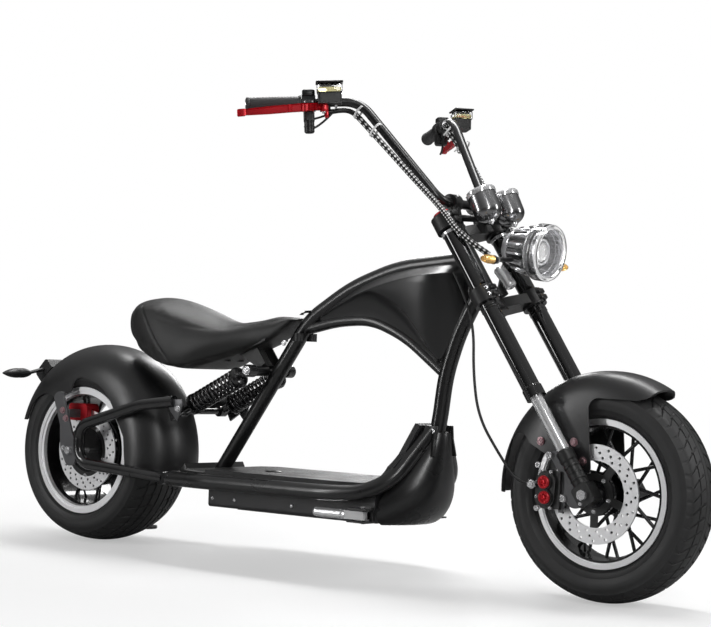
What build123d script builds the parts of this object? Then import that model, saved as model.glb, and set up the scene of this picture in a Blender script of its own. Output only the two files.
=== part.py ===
from build123d import *
from math import cos, radians, sin, tan
import os

# An electric chopper scooter, in millimetres. It is drawn upright in its own frame: x forward from
# the rear axle, y to its left, z up from the floor. At the end it is leaned onto its side stand.

# Driving dimensions
WHEELBASE = 1592.0
RAKE = 34.0             # fork angle from vertical, in degrees
LEAN = 3.5              # lean onto the side stand, to the left, in degrees
AXLE_R = 7.0
RUNNING_GAP = 0.08      # radial clearance of a shaft in its bore
CLEARANCE = 5.0         # least gap between pieces that move past each other
SEAT_GAP = 0.3          # gap under a soft piece
HEAD_BACK = 426.0       # middle of the head tube, behind the front axle
HEAD_STATION = 1166.0   # the same place on the drawing's scale of stations, from the rear axle


def station(x):
    """Place between the rear axle and the head tube, stretched with the wheelbase."""
    return x * (WHEELBASE - HEAD_BACK) / HEAD_STATION


# Wheels and brakes
REAR_TYRE_R = 245.0
REAR_TYRE_HALF = 104.0
REAR_RIM_R = REAR_TYRE_R - 75.0
REAR_RIM_HALF = 92.0
FRONT_TYRE_R = 243.0
FRONT_TYRE_HALF = 60.0
FRONT_RIM_R = FRONT_TYRE_R - 77.0
FRONT_RIM_HALF = 45.0
RIM_WALL = 4.0
RIM_LIP = 21.0          # radial width of the polished lip
TYRE_WALL = 12.0
SPOKE_PAIRS = 12
SPOKE_R = 4.0
HUB_R = 26.0
MOTOR_R = REAR_RIM_R - 72.0
MOTOR_HALF = 45.0
DISC_THICK = 4.0
DISC_BAND = 36.0        # radial width of the braking ring
DISC_HOLE_R = 3.2
FRONT_DISC_R = FRONT_RIM_R - 56.0
FRONT_DISC_Y = 66.0
REAR_DISC_R = REAR_RIM_R - 62.0
REAR_DISC_Y = 70.0
CALIPER_HALF = 22.0
CALIPER_AT = (-FRONT_DISC_R - 2.0, 3.0)      # middle of the front caliper, from the front axle

# Fork and steering
FORK_HALF = 100.0       # half the spacing of the fork tubes
STEM_BACK = 45.0        # steering axis behind the plane of the fork tubes
FORK_OUTER_R = 21.0
STANCHION_R = 14.5
LEG_R = 18.0
LUG_HALF = 19.0         # half width of the axle lugs
LOWER_YOKE_S = 499.0    # distances along the fork, up from the front axle
UPPER_YOKE_S = 702.0
YOKE_HEIGHT = 38.0
FORK_TOP_S = 743.0
COLLAR_S = 254.0
LEG_TOP_S = 112.0
STEM_R = 13.0
HEAD_R = 24.0
FRONT_FENDER_R = FRONT_TYRE_R + 29.0
FRONT_FENDER_HALF = FRONT_TYRE_HALF + 16.0
FENDER_WALL = 3.0

# Frame and deck
FRAME_TUBE_R = 19.0
BRACE_TUBE_R = 14.0
RAIL_HALF = 170.0       # deck rails, either side of the middle
RAIL_Z = 198.0
DECK_TOP = 212.0
DECK_HALF = 146.0
DECK_REAR = station(430.0)
DECK_FRONT = station(985.0)     # where the floor turns up
FLOOR_BEND_R = 100.0
FLOOR_TURN = 78.0       # in degrees
FLOOR_FLAP = 80.0       # straight length above the bend
PAN_THICK = 4.0
MAT_THICK = 15.0
MAT_REAR = station(470.0)
MAT_INSET = 5.0
BOX_HALF = 130.0
BOX_BOTTOM = 134.0
BOX_REAR = station(505.0)
BOX_FRONT = station(1035.0)
PEG_X = BOX_FRONT - 20.0
PEG_Y = BOX_HALF + 20.0
PEG_Z = 152.0
PEG_LENGTH = 150.0
PEG_PIN_R = 4.0

# Rear end
ARM_HALF = 128.0        # swingarm tubes, either side of the middle
ARM_TUBE_R = 15.0
ARM_PIVOT = (station(345.0), 195.0)
REAR_FENDER_R = REAR_TYRE_R + 46.0
REAR_FENDER_HALF = REAR_TYRE_HALF + 8.0
REAR_FENDER_AT = (8.0, REAR_TYRE_R - 4.0)
FENDER_CROWN = REAR_FENDER_AT[1] + REAR_FENDER_R
TAIL_TURN = 46.0        # place of the tail lamp, back from the top of the fender, in degrees
LAMP_HALF = 45.0
PLATE_THICK = 6.0
SHOCK_HALF = 75.0
SHOCK_LOWER = (station(352.0), 366.0)
SHOCK_UPPER = (station(579.0), 479.0)
SHOCK_BOLT_R = 8.0
SPRING_R = 23.0         # to the middle of the wire
WIRE_R = 3.6
SPRING_TURNS = 11
SPRING_LOW = 50.0       # from the lower eye to the foot of the spring
SPRING_HIGH = 44.0      # from the head of the spring to the upper eye
STAND_X = -78.0
STAND_Y = ARM_HALF + 3.0 + PLATE_THICK + 7.0
STAND_Z = REAR_TYRE_R - 42.0
STAND_FOOT = (-52.0, 236.0)
STAND_PIN_R = 5.0
CROWN_DROP = 0.4        # how far the round tyre crowns come down when leaned

# Controls and lamps
BAR_R = 11.1
BAR_BASE = (WHEELBASE - 424.0, FRONT_TYRE_R + 650.0)
BAR_CORNER = (WHEELBASE - 602.0, 190.0, FRONT_TYRE_R + 881.0)
BAR_END = (WHEELBASE - 804.0, 360.0, FRONT_TYRE_R + 863.0)
GRIP_R = 16.0
GRIP_LENGTH = 128.0
RISER_Y = 48.0
RISER_R = 15.0
LAMP_R = 66.0
LAMP_LENGTH = 122.0
LAMP_FRONT = (WHEELBASE - 176.0, FRONT_TYRE_R + 534.0)
LAMP_DROP = 7.0         # downward aim of the headlight, in degrees
GAUGE_R = 34.0
GAUGE_AT = (WHEELBASE - 330.0, 48.0, FRONT_TYRE_R + 641.0)
GAUGE_TILT = 27.0       # tilt of the gauges back towards the rider, in degrees
HOSE_R = 3.2
HOSE_RADII = [80, 150, 200, 150, 60, 32]
LOOM_R = 5.5
LOOM_RADII = [40, 120, 150, 40]

UP = (Align.CENTER, Align.CENTER, Align.MIN)
DOWN = (Align.CENTER, Align.CENTER, Align.MAX)

# Tube routes: the corners of each centre line, and the radius of the bend at each inner corner
TOP_PATH = [(WHEELBASE - HEAD_BACK, 0, FRONT_TYRE_R + 519), (station(985), 0, 744), (station(842), 0, 694),
            (station(708), 0, 612), (station(423), 0, 208)]
TOP_RADII = [500, 500, 220]
ARC_PATH = [(station(690), 0, 586), (station(800), 0, 611), (station(905), 0, 617), (station(1010), 0, 578),
            (station(1124), 0, FRONT_TYRE_R + 254)]
ARC_RADII = [450, 220, 380]
DOWN_PATH = [(WHEELBASE - 370, 0, FRONT_TYRE_R + 447), (station(1165), 0, FRONT_TYRE_R + 342),
             (station(1133), 0, FRONT_TYRE_R + 247), (station(1122), 0, 400), (station(1113), 0, 345)]
DOWN_RADII = [400, 400, 300]
RAIL_PATH = [(ARM_PIVOT[0] + 22.3, 128, RAIL_Z - 3), (station(500), 165, RAIL_Z),
             (station(930), RAIL_HALF, RAIL_Z + 2), (station(1066), 146, 208), (station(1112), 26, 356)]
RAIL_RADII = [250, 400, 130]


# Placing and shaping helpers

def fork_plane(side=0):
    """Local frame on the fork: origin on the front axle, x forward, y left, z up the tubes."""
    c, s = cos(radians(RAKE)), sin(radians(RAKE))
    origin = (WHEELBASE, side * FORK_HALF, FRONT_TYRE_R)
    return Plane(origin=origin, x_dir=(c, 0, s), z_dir=(-s, 0, c))


def fork_point(forward, across, up):
    """Point given in the fork's own frame."""
    return fork_plane().from_local_coords(Vector(forward, across, up))


def rod(start, end, radius):
    """Round bar from one point to another."""
    a, b = Vector(*start), Vector(*end)
    return Plane(origin=a, z_dir=b - a) * Cylinder(radius, (b - a).length, align=UP)


def bent_tube(points, radii, radius):
    """Round tube along straight runs joined by tangent arcs."""
    path = FilletPolyline(*points, radius=radii)
    return sweep(Plane(origin=path @ 0, z_dir=path % 0) * Circle(radius), path=path)


def outline(points, place):
    """Closed face through points; a pair of points is an arc through the first to the second."""
    edges, here = [], points[0]
    for step in points[1:] + points[:1]:
        if isinstance(step[0], tuple):
            middle, end = step
            edges.append(ThreePointArc(place(*here), place(*middle), place(*end)))
        else:
            end = step
            edges.append(Line(place(*here), place(*end)))
        here = end
    return make_face(Wire(edges))


def turned(plane, points):
    """Turn a closed outline of (radius, height) about the axis of a plane."""
    return plane * revolve(outline(points, lambda r, h: (r, 0, h)), axis=Axis.Z)


def wheel_turned(points, x, z):
    """Turn a closed outline of (radius, y) about a cross-wise axle at x, z."""
    return Pos(x, 0, z) * revolve(outline(points, lambda r, y: (r, y, 0)), axis=Axis.Y)


def ring_y(outer, inner, y0, y1, x, z):
    """Flat ring between two y values about a cross-wise axle."""
    ring = Circle(outer) - Circle(inner) if inner > 0 else Circle(outer)
    plane = Plane(origin=(x, min(y0, y1), z), x_dir=(1, 0, 0), z_dir=(0, 1, 0))
    return plane * extrude(ring, abs(y1 - y0))


def side_plate(points, y, thick):
    """Plate from an outline of (x, z), from y outwards by thick along +y."""
    return extrude(outline(points, lambda px, pz: (px, y, pz)), amount=thick, dir=(0, 1, 0))


def mirrored(solid):
    """The same piece on the other side of the vehicle."""
    return solid.mirror(Plane.XZ)


def both(solid):
    """A pair of pieces, right and left, in one node."""
    return Compound(children=[solid, mirrored(solid)])


# Wheels

def tyre(radius, half, rim_r, rim_half, x):
    """Tyre with a round crown, hollow inside, open towards the rim."""
    seat, over, bead, t = rim_r - RIM_WALL, rim_r + 1, rim_half - RIM_WALL, TYRE_WALL
    shoulder, shoulder_y = radius - 0.16 * half, 0.80 * half
    widest = rim_r + 0.42 * (radius - rim_r)
    return wheel_turned([
        (seat, -bead), (over, -bead), ((widest, -half), (shoulder, -shoulder_y)),
        ((radius, 0), (shoulder, shoulder_y)), ((widest, half), (over, bead)),
        (seat, bead), (seat, bead - t), ((widest, half - t), (shoulder - t, shoulder_y - t)),
        ((radius - t, 0), (shoulder - t, t - shoulder_y)), ((widest, t - half), (seat, t - bead)),
    ], x, radius)


def rim_barrel(rim_r, half, x, z):
    """Drop-centre rim with a stepped, polished lip on each side."""
    inner = rim_r - RIM_LIP
    step = RIM_LIP / 2
    return wheel_turned([
        (inner + 2, -half + 3), (rim_r - step, -half + 3), (rim_r - step, -half), (rim_r, -half),
        (rim_r, -half + RIM_WALL), (rim_r - 4, -half + RIM_WALL), (rim_r - 4, -half + 16),
        (inner + 2, -half + 26), (inner + 2, half - 26), (rim_r - 4, half - 16),
        (rim_r - 4, half - RIM_WALL), (rim_r, half - RIM_WALL), (rim_r, half), (rim_r - step, half),
        (rim_r - step, half - 3), (inner + 2, half - 3), (inner - 3, half - 26), (inner - 3, 26 - half),
    ], x, z)


def crossed_spokes(hub_r, rim_r, hub_turn, rim_turn, hub_y, rim_y, x, z):
    """Pairs of spokes, one from each hub flange, that cross on the way to the rim."""
    bars = []
    for index in range(SPOKE_PAIRS):
        middle = 360.0 * index / SPOKE_PAIRS + 4
        for side in (-1, 1):
            a, b = radians(middle - side * hub_turn), radians(middle + side * rim_turn)
            start = (x + hub_r * cos(a), side * hub_y, z + hub_r * sin(a))
            end = (x + rim_r * cos(b), side * rim_y, z + rim_r * sin(b))
            bars.append(rod(start, end, SPOKE_R))
    return bars


def front_rim():
    """Front rim with its hub and crossed spokes, bored for the axle."""
    x, z = WHEELBASE, FRONT_TYRE_R
    seat = FRONT_DISC_Y - DISC_THICK / 2
    flange_r, flange_y = 48.0, 17.0
    bore = AXLE_R + RUNNING_GAP
    rim = rim_barrel(FRONT_RIM_R, FRONT_RIM_HALF, x, z) + ring_y(HUB_R, bore, -seat, seat, x, z)
    rim += ring_y(flange_r, bore, -seat, 8 - seat, x, z)
    for side in (-1, 1):
        rim += ring_y(flange_r, HUB_R - 1, side * (flange_y - 4), side * (flange_y + 4), x, z)
    for bar in crossed_spokes(flange_r - 6, FRONT_RIM_R - RIM_LIP - 1, 42, 5, flange_y, 4, x, z):
        rim += bar
    return rim


def rear_rim():
    """Deep rear rim on the drum of the hub motor, bored for the axle."""
    x, z = 0.0, REAR_TYRE_R
    cap = REAR_DISC_Y - DISC_THICK / 2
    rim = rim_barrel(REAR_RIM_R, REAR_RIM_HALF, x, z)
    rim += wheel_turned([
        (AXLE_R + RUNNING_GAP, -cap), (60, -cap), (62, -MOTOR_HALF - 6), (MOTOR_R - 8, -MOTOR_HALF),
        ((MOTOR_R - 2, -MOTOR_HALF + 2), (MOTOR_R, -MOTOR_HALF + 8)), (MOTOR_R, MOTOR_HALF - 8),
        ((MOTOR_R - 2, MOTOR_HALF - 2), (MOTOR_R - 8, MOTOR_HALF)), (62, MOTOR_HALF + 6), (60, cap),
        (AXLE_R + RUNNING_GAP, cap)], x, z)
    for bar in crossed_spokes(MOTOR_R - 6, REAR_RIM_R - RIM_LIP - 1, 2, 8, 30, 24, x, z):
        rim += bar
    return rim


def brake_disc(radius, y, x, z, hub_r):
    """Drilled braking ring on a five-armed carrier."""
    low, high = y - DISC_THICK / 2, y + DISC_THICK / 2
    disc = ring_y(radius, radius - DISC_BAND, low, high, x, z) + ring_y(hub_r + 16, hub_r, low, high, x, z)
    arm_from, arm_to = hub_r + 8, radius - DISC_BAND + 4
    face = Plane(origin=(x, y, z), x_dir=(1, 0, 0), z_dir=(0, 1, 0))
    for turn in range(18, 360, 72):
        disc += face * Rot(0, 0, turn) * Pos((arm_from + arm_to) / 2, 0, 0) * Box(
            arm_to - arm_from, 18, DISC_THICK)
    for row in range(3):
        drill = PolarLocations(radius - 8 - 10 * row, 20, 6 * row) * Cylinder(DISC_HOLE_R, 3 * DISC_THICK)
        disc -= face * Compound(children=list(drill))
    return disc


# Frame

def top_tube():
    """Tube from the head down to the deck."""
    return bent_tube(TOP_PATH, TOP_RADII, FRAME_TUBE_R)


def down_tube():
    """Tube from the head down to the deck rails."""
    return bent_tube(DOWN_PATH, DOWN_RADII, FRAME_TUBE_R)


def right_rail():
    """Right deck rail."""
    return bent_tube([(x, -y, z) for x, y, z in RAIL_PATH], RAIL_RADII, FRAME_TUBE_R)


def shock_link():
    """Cross tube at the tops of the shock absorbers, with its link to the seat post tube."""
    reach = SHOCK_HALF - 12.2
    x, z = SHOCK_UPPER
    return rod((x, -reach, z), (x, reach, z), 13) + rod((x, 0, z), (station(612), 0, z - 1), 15)


def spine_frame():
    """Head tube, top tube running down to the deck, lower arc tube and down tube, welded."""
    frame = top_tube() - Pos(TOP_PATH[-1][0], 0, DECK_TOP - 50) * Box(200, 100, 100)
    frame += bent_tube(ARC_PATH, ARC_RADII, BRACE_TUBE_R)
    frame += down_tube()
    base = fork_point(-STEM_BACK, 0, LOWER_YOKE_S + YOKE_HEIGHT + 2)
    top = fork_point(-STEM_BACK, 0, UPPER_YOKE_S - 2)
    frame += rod(base, top, HEAD_R)
    frame -= rod(base, top, STEM_R + RUNNING_GAP)
    return frame + shock_link()


def deck_rails():
    """Two side rails swept up to the down tube, with cross tubes under the deck."""
    rails = right_rail() + mirrored(right_rail())
    for x, half in ((station(400), 130), (station(470), 155)):
        rails += rod((x, -half, RAIL_Z - 3), (x, half, RAIL_Z - 3), 13)
    return rails - down_tube()


def floor_band(rear, low, high):
    """Side view of a layer over the floor line, from low to high above it, turned up at the front."""
    def on_bend(above, turn):
        a = radians(turn)
        reach = FLOOR_BEND_R - above
        return DECK_FRONT + reach * sin(a), DECK_TOP + FLOOR_BEND_R - reach * cos(a)

    def tip(above):
        x, z = on_bend(above, FLOOR_TURN)
        a = radians(FLOOR_TURN)
        return x + FLOOR_FLAP * cos(a), z + FLOOR_FLAP * sin(a)

    half = FLOOR_TURN / 2
    return outline([
        (rear, DECK_TOP + low), (DECK_FRONT, DECK_TOP + low), (on_bend(low, half), on_bend(low, FLOOR_TURN)),
        tip(low), tip(high), on_bend(high, FLOOR_TURN), (on_bend(high, half), (DECK_FRONT, DECK_TOP + high)),
        (rear, DECK_TOP + high)], lambda x, z: (x, 0, z))


def floor_sheet(rear, low, high, inset):
    """Layer of the floor between the rails, narrowed at the rear and where it turns up."""
    half = DECK_HALF - inset
    sheet = extrude(floor_band(rear, low, high), amount=half, both=True, dir=(0, 1, 0))
    back, front, taper = rear - 1, DECK_FRONT + 160, half - 22
    wide_from, wide_to = station(500), DECK_FRONT - 55
    plan = outline([
        (back, inset - 112), (wide_from, -half), (wide_to, -half), (DECK_FRONT + 55, -taper), (front, -taper),
        (front, taper), (DECK_FRONT + 55, taper), (wide_to, half), (wide_from, half), (back, 112 - inset)],
        lambda x, y: (x, y, DECK_TOP - 20))
    front_view = outline([
        (-half, 100), (half, 100), (half, DECK_TOP + 34), (96 - inset, 300), (46 - inset, 390),
        (inset - 46, 390), (inset - 96, 300), (-half, DECK_TOP + 34)], lambda y, z: (back, y, z))
    sheet = sheet & extrude(plan, amount=400, dir=(0, 0, 1))
    sheet = sheet & extrude(front_view, amount=front - back, dir=(1, 0, 0))
    rail = bent_tube([(x, -y, z) for x, y, z in RAIL_PATH], RAIL_RADII, FRAME_TUBE_R + SEAT_GAP)
    sheet -= bent_tube(DOWN_PATH, DOWN_RADII, FRAME_TUBE_R + SEAT_GAP)
    return sheet - rail - mirrored(rail)


def deck_pan():
    """Steel floor between the rails, turned up at the front."""
    return floor_sheet(DECK_REAR, -PAN_THICK, 0.0, 0.0)


def deck_mat():
    """Rubber mat on the floor, with ribs along it."""
    top = SEAT_GAP + MAT_THICK
    mat = floor_sheet(MAT_REAR, SEAT_GAP, top, MAT_INSET)
    start, end = MAT_REAR + 15, DECK_FRONT - 20
    for index in range(-5, 6):
        mat -= Pos((start + end) / 2, 22.0 * index, DECK_TOP + top) * Box(end - start, 4, 5)
    return mat


def battery_box():
    """Battery under the floor, in a sheet metal tray with round corners."""
    top = DECK_TOP - PAN_THICK
    tray = Pos((BOX_REAR + BOX_FRONT) / 2, 0, (BOX_BOTTOM + top) / 2) * Box(
        BOX_FRONT - BOX_REAR, 2 * BOX_HALF, top - BOX_BOTTOM)
    tray = fillet(tray.edges().filter_by(Axis.X).group_by(Axis.Z)[0], 9)
    skid = Pos((BOX_REAR + BOX_FRONT) / 2, 0, BOX_BOTTOM - 3) * Box(BOX_FRONT - BOX_REAR - 110, 160, 6)
    return tray + skid


def nose_guard():
    """Moulded cowl in front of the battery, narrowing up to the down tube."""
    # Columns: height, back and front ahead of the battery, half width at the back
    rows = [
        (BOX_BOTTOM - 4, 0, 42, 104), (BOX_BOTTOM + 16, 0, 76, 122), (BOX_BOTTOM + 62, 8, 104, 118),
        (256, 41, 112, 86), (310, 59, 112, 50), (352, 71, 110, 30),
    ]
    sections = []
    for z, back, front, wide in rows:
        back, front = BOX_FRONT + back, BOX_FRONT + front
        sections.append(outline([(back, wide), ((front, 0), (back, -wide))], lambda px, py: (px, py, z)))
    room = extrude(floor_band(BOX_FRONT - 200, -PAN_THICK, 80), amount=DECK_HALF, both=True, dir=(0, 1, 0))
    guard = loft(sections) - right_rail() - mirrored(right_rail()) - down_tube() - room
    return guard.solids().sort_by(SortBy.VOLUME)[-1]


def tank_body():
    """Sheet body between the top tube and the lower arc tube, swelling towards the head."""
    # Columns: station, height of the top edge, of the crease, of the lower edge, half widths of the three
    rows = [
        (748, 634, 622, 602, 7, 11, 7), (840, 684, 664, 613, 9, 26, 8), (930, 722, 690, 612, 11, 44, 8),
        (1020, 742, 706, 574, 12, 58, 8), (1100, 750, 714, 520, 13, 66, 8), (1142, 753, 716, 500, 14, 66, 8),
    ]
    sections = []
    for along, top, crease, low, wt, wc, wl in rows:
        x = station(along)
        side = (0.5 * (wl + wc) - 3, 0.5 * (low + crease))
        upper = (0.42 * wc + 0.42 * wt, 0.5 * (crease + top))
        sections.append(outline([
            (wl, low), (side, (wc, crease)), (upper, (wt, top)), ((0, top + 4), (-wt, top)),
            ((-upper[0], upper[1]), (-wc, crease)), ((-side[0], side[1]), (-wl, low))],
            lambda across, up: (x, across, up)))
    return loft(sections, ruled=True) - spine_frame()


def peg_brackets():
    """Clevises on the battery box for the folding foot pegs."""
    y0, y1 = BOX_HALF, BOX_HALF + 34
    plate = Pos(PEG_X - 10, -(y0 + 2), PEG_Z) * Box(56, 4, 34)
    for side in (-1, 1):
        plate += Pos(PEG_X - 10, -(y0 + y1) / 2, PEG_Z + side * 15) * Box(56, y1 - y0, 4)
    pin = rod((PEG_X, -PEG_Y, PEG_Z - 19), (PEG_X, -PEG_Y, PEG_Z + 19), PEG_PIN_R)
    return both(plate + pin)


def foot_peg():
    """Right foot peg, folded back along the battery box."""
    root, tip = PEG_X - 48, PEG_X - PEG_LENGTH
    tongue = Pos(PEG_X - 22, -PEG_Y, PEG_Z) * Box(56, 18, 20)
    body = turned(Plane(origin=(root, -PEG_Y, PEG_Z), z_dir=(-1, 0, 0)), [
        (0, 0), (11.5, 0), (11.5, 6), (10, 9), (12, 14), (12, root - tip - 14),
        ((9, root - tip - 4), (2, root - tip)), (0, root - tip)])
    bore = rod((PEG_X, -PEG_Y, PEG_Z - 19), (PEG_X, -PEG_Y, PEG_Z + 19), PEG_PIN_R + RUNNING_GAP)
    return tongue + body - bore


# Seat

def seat():
    """Long saddle: a wide raised rear pad, a waist and a narrow nose."""
    # Columns: station, top and bottom above the fender's crown, half width at the top, and at the bottom
    rows = [
        (106, 90, 40, 44, 40), (140, 118, 4, 84, 74), (200, 132, -26, 108, 98), (290, 115, -54, 116, 124),
        (400, 74, -40, 92, 116), (520, 58, 4, 56, 72), (640, 82, 56, 40, 46), (722, 118, 106, 24, 28),
    ]
    sections = []
    for along, top, low, wt, wl in rows:
        x, top, low = station(along), FENDER_CROWN + top, FENDER_CROWN + low
        mid, bulge = (top + low) / 2, max(wt, wl) + 6
        crown = top - 0.2 * (top - low)
        sections.append(outline([
            (wl, low), ((bulge, mid), (wt, crown)), ((0, top), (-wt, crown)), ((-bulge, mid), (-wl, low))],
            lambda across, up: (x, across, up)))
    saddle = loft(sections) - bent_tube(TOP_PATH, TOP_RADII, FRAME_TUBE_R + SEAT_GAP)
    return saddle.solids().sort_by(SortBy.VOLUME)[-1]


def seat_bracket():
    """Steel plate and post under the seat, bolted to the seat post tube."""
    x, z = SHOCK_UPPER

    def under_seat(points):
        return [(station(along), FENDER_CROWN + up) for along, up in points]

    plate = side_plate(under_seat([(430, -39), (520, -6), (600, 25), (600, 32), (520, 0), (430, -33)]), -45, 90)
    post = rod((station(540), 0, FENDER_CROWN + 5), (x, 0, z), 12)
    rib = under_seat([(500, -12), (560, 8), (590, -32), (568, -46)])
    ribs = [side_plate(rib, side * 28 - 2, 4) for side in (-1, 1)]
    return plate + post + ribs[0] + ribs[1] - shock_link()


# Rear end

def swingarm():
    """Bent tube loop on each side, joined by cross tubes, with a gusset for each shock."""
    px, pz = ARM_PIVOT
    sx, sz = SHOCK_LOWER
    behind = 27
    path = [(sx + 20, -ARM_HALF, sz + 26), (station(250), -ARM_HALF, sz + 12),
            (behind, -ARM_HALF, REAR_TYRE_R + 67), (behind, -ARM_HALF, REAR_TYRE_R - 31), (px, -ARM_HALF, pz)]
    arm = bent_tube(path, [200, 45, 45], ARM_TUBE_R)
    gusset = [(sx - 22, sz + 39), (sx + 33, sz + 26), (sx + 40, sz), (sx, sz - 26), (sx - 14, sz)]
    arm += side_plate(gusset, -ARM_HALF + ARM_TUBE_R - 3, 6)
    fall = (REAR_TYRE_R - 31 - pz) / (px - behind)
    start, end = px - 128, px - 110
    arm += rod((start, -ARM_HALF, pz + 128 * fall), (end, -ARM_HALF, pz + 110 * fall), ARM_TUBE_R + 0.8)
    arm = arm + mirrored(arm)
    arm += rod((px, -ARM_HALF - 12, pz), (px, ARM_HALF + 12, pz), ARM_TUBE_R + 2)
    reach = ARM_HALF - ARM_TUBE_R + 1
    return arm + rod((sx, -reach, sz), (sx, reach, sz), SHOCK_BOLT_R)


def axle_plates():
    """Plates on the swingarm that carry the rear axle, the fender, the caliper and the side stand."""
    y = ARM_HALF + 3
    caliper_y = REAR_DISC_Y + CALIPER_HALF

    def plate(points, side):
        raised = outline(points, lambda px, pz: (px, side * y, REAR_TYRE_R + pz))
        return extrude(raised, amount=PLATE_THICK, dir=(0, side, 0))

    right = plate([(-40, 67), (6, 51), (34, 5), (22, -31), ((4, -41), (-14, -33)), (-36, 5)], -1)
    right += plate([(-67, 137), ((-56, 153), (-34, 153)), (6, 51), (-40, 67)], -1)
    left = mirrored(right) + plate([(-12, -31), (-34, 5), (-92, -30), ((-95, -47), (-84, -57)), (-60, -55)], 1)
    right += Pos(-24, -(y + caliper_y) / 2, REAR_TYRE_R + REAR_DISC_R - 10) * Box(30, y - caliper_y, 22)
    cut = swingarm() + rod((0, -200, REAR_TYRE_R), (0, 200, REAR_TYRE_R), AXLE_R)
    return Compound(children=[right - cut, left - cut])


def rear_axle():
    """Rear axle with its end nuts."""
    end = ARM_HALF + 3 + PLATE_THICK
    axle = rod((0, -end - 12, REAR_TYRE_R), (0, end + 12, REAR_TYRE_R), AXLE_R)
    for side in (-1, 1):
        axle += Plane(origin=(0, side * end, REAR_TYRE_R), z_dir=(0, side, 0)) * extrude(RegularPolygon(11, 6), 9)
    return axle


def shock_frame(side):
    """Local frame of a shock absorber: origin on the lower eye, z towards the upper eye; and its length."""
    a = Vector(SHOCK_LOWER[0], side * SHOCK_HALF, SHOCK_LOWER[1])
    b = Vector(SHOCK_UPPER[0], side * SHOCK_HALF, SHOCK_UPPER[1])
    return Plane(origin=a, x_dir=(0, 1, 0), z_dir=b - a), (b - a).length


def shock_absorbers():
    """Two damper units with their eyes, spring plates and bump stops."""
    units = []
    for side in (-1, 1):
        frame, length = shock_frame(side)
        plate = SPRING_R + WIRE_R + 1
        head = length - SPRING_HIGH
        unit = turned(frame, [
            (0, 11), (10.5, 11), (10.5, SPRING_LOW - 8), (plate - 3, SPRING_LOW - 8), (plate, SPRING_LOW - 5),
            (plate, SPRING_LOW), (15, SPRING_LOW), (15, 112), (7, 112), (7, head - 22), (14, head - 18),
            (14, head), (plate, head), (plate, head + 5), (plate - 4, head + 12), (10.5, head + 16),
            (10.5, length - 13), (0, length - 13)])
        for (x, z), radius in ((SHOCK_LOWER, 14), (SHOCK_UPPER, 16)):
            unit += ring_y(radius, 0, side * SHOCK_HALF - 12, side * SHOCK_HALF + 12, x, z)
        x, z = SHOCK_LOWER
        unit -= ring_y(SHOCK_BOLT_R + RUNNING_GAP, 0, side * SHOCK_HALF - 20, side * SHOCK_HALF + 20, x, z)
        units.append(unit)
    return Compound(children=units)


def shock_springs():
    """Two wound springs, each seated between its plates."""
    springs = []
    for side in (-1, 1):
        frame, length = shock_frame(side)
        height = length - SPRING_HIGH - SPRING_LOW - 2 * WIRE_R - 0.2
        coil = Helix(pitch=height / SPRING_TURNS, height=height, radius=SPRING_R)
        wire = sweep(Plane(origin=coil @ 0, z_dir=coil % 0) * Circle(WIRE_R), path=coil, is_frenet=True)
        springs.append(frame * Pos(0, 0, SPRING_LOW + WIRE_R + 0.1) * wire)
    return Compound(children=springs)


def fender_shell(radius, half, corner, x, z):
    """Thin channel turned about an axle: a crowned top with round shoulders and flat sides."""
    def body(inset):
        r, h, c = radius - inset, half - inset, corner
        side = r - c - 4
        shoulder = (side + 0.72 * c, h - 0.28 * c)
        return wheel_turned([
            (0, -h), (side, -h), ((shoulder[0], -shoulder[1]), (r - 4, c - h)), ((r, 0), (r - 4, h - c)),
            ((shoulder[0], shoulder[1]), (side, h)), (0, h)], x, z)
    return body(0) - body(FENDER_WALL)


def rear_fender():
    """Deep fender over the rear wheel: arched side cut-outs, a pointed tail and a front that meets the deck."""
    x, z = REAR_FENDER_AT
    shell = fender_shell(REAR_FENDER_R, REAR_FENDER_HALF, 54, x, z)
    # Side view round the axle, in hundredths of the fender's radius
    kept = outline([
        (-90, 24.4), (-55.3, 24.7), ((-51.5, 41.6), (-38.8, 50.5)), (-31.6, 47.8), (-9.3, 54),
        ((-5.5, 63.6), (6.9, 66.7)), ((32, 57.4), (48.1, 36.1)), (60.5, 15.5), (63.9, -13.7), (113.4, -13.7),
        (115, 0), (115, 115), (-115, 115), (-115, 24.4)],
        lambda ahead, up: (REAR_FENDER_R * ahead / 100, 0, REAR_TYRE_R + REAR_FENDER_R * up / 100))
    return shell & extrude(kept, amount=REAR_FENDER_HALF + 1, both=True, dir=(0, 1, 0))


def on_fender(turn, out, y):
    """Frame on the rear fender, turned back from the top by turn degrees, z pointing outwards."""
    x, z = REAR_FENDER_AT
    reach = REAR_FENDER_R + out
    a = radians(turn)
    return Plane(origin=(x - reach * sin(a), y, z + reach * cos(a)), x_dir=(cos(a), 0, sin(a)),
                 z_dir=(-sin(a), 0, cos(a)))


def tail_lamp():
    """Tail lamp housing on the back of the fender."""
    place = on_fender(TAIL_TURN, 0, 0)
    lamp = place * Pos(0, 0, 17) * Box(60, 2 * LAMP_HALF, 34)
    return fillet(lamp.edges().filter_by(Axis.Y).sort_by_distance(place.origin)[2:], 9)


def rear_signals():
    """Rear turn signals on their stalks."""
    start = on_fender(TAIL_TURN, 20, -LAMP_HALF).origin
    end = start + Vector(-8, -46, -12)
    stalk = rod(start, end, 5)
    lamp = turned(Plane(origin=end + Vector(0, 6, 0), z_dir=(-0.12, -1, -0.02)), [
        (0, 0), (6, 0), ((12, 16), (13, 36)), ((10, 70), (1, 92)), (0, 92)])
    return both(stalk + lamp - tail_lamp())


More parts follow.
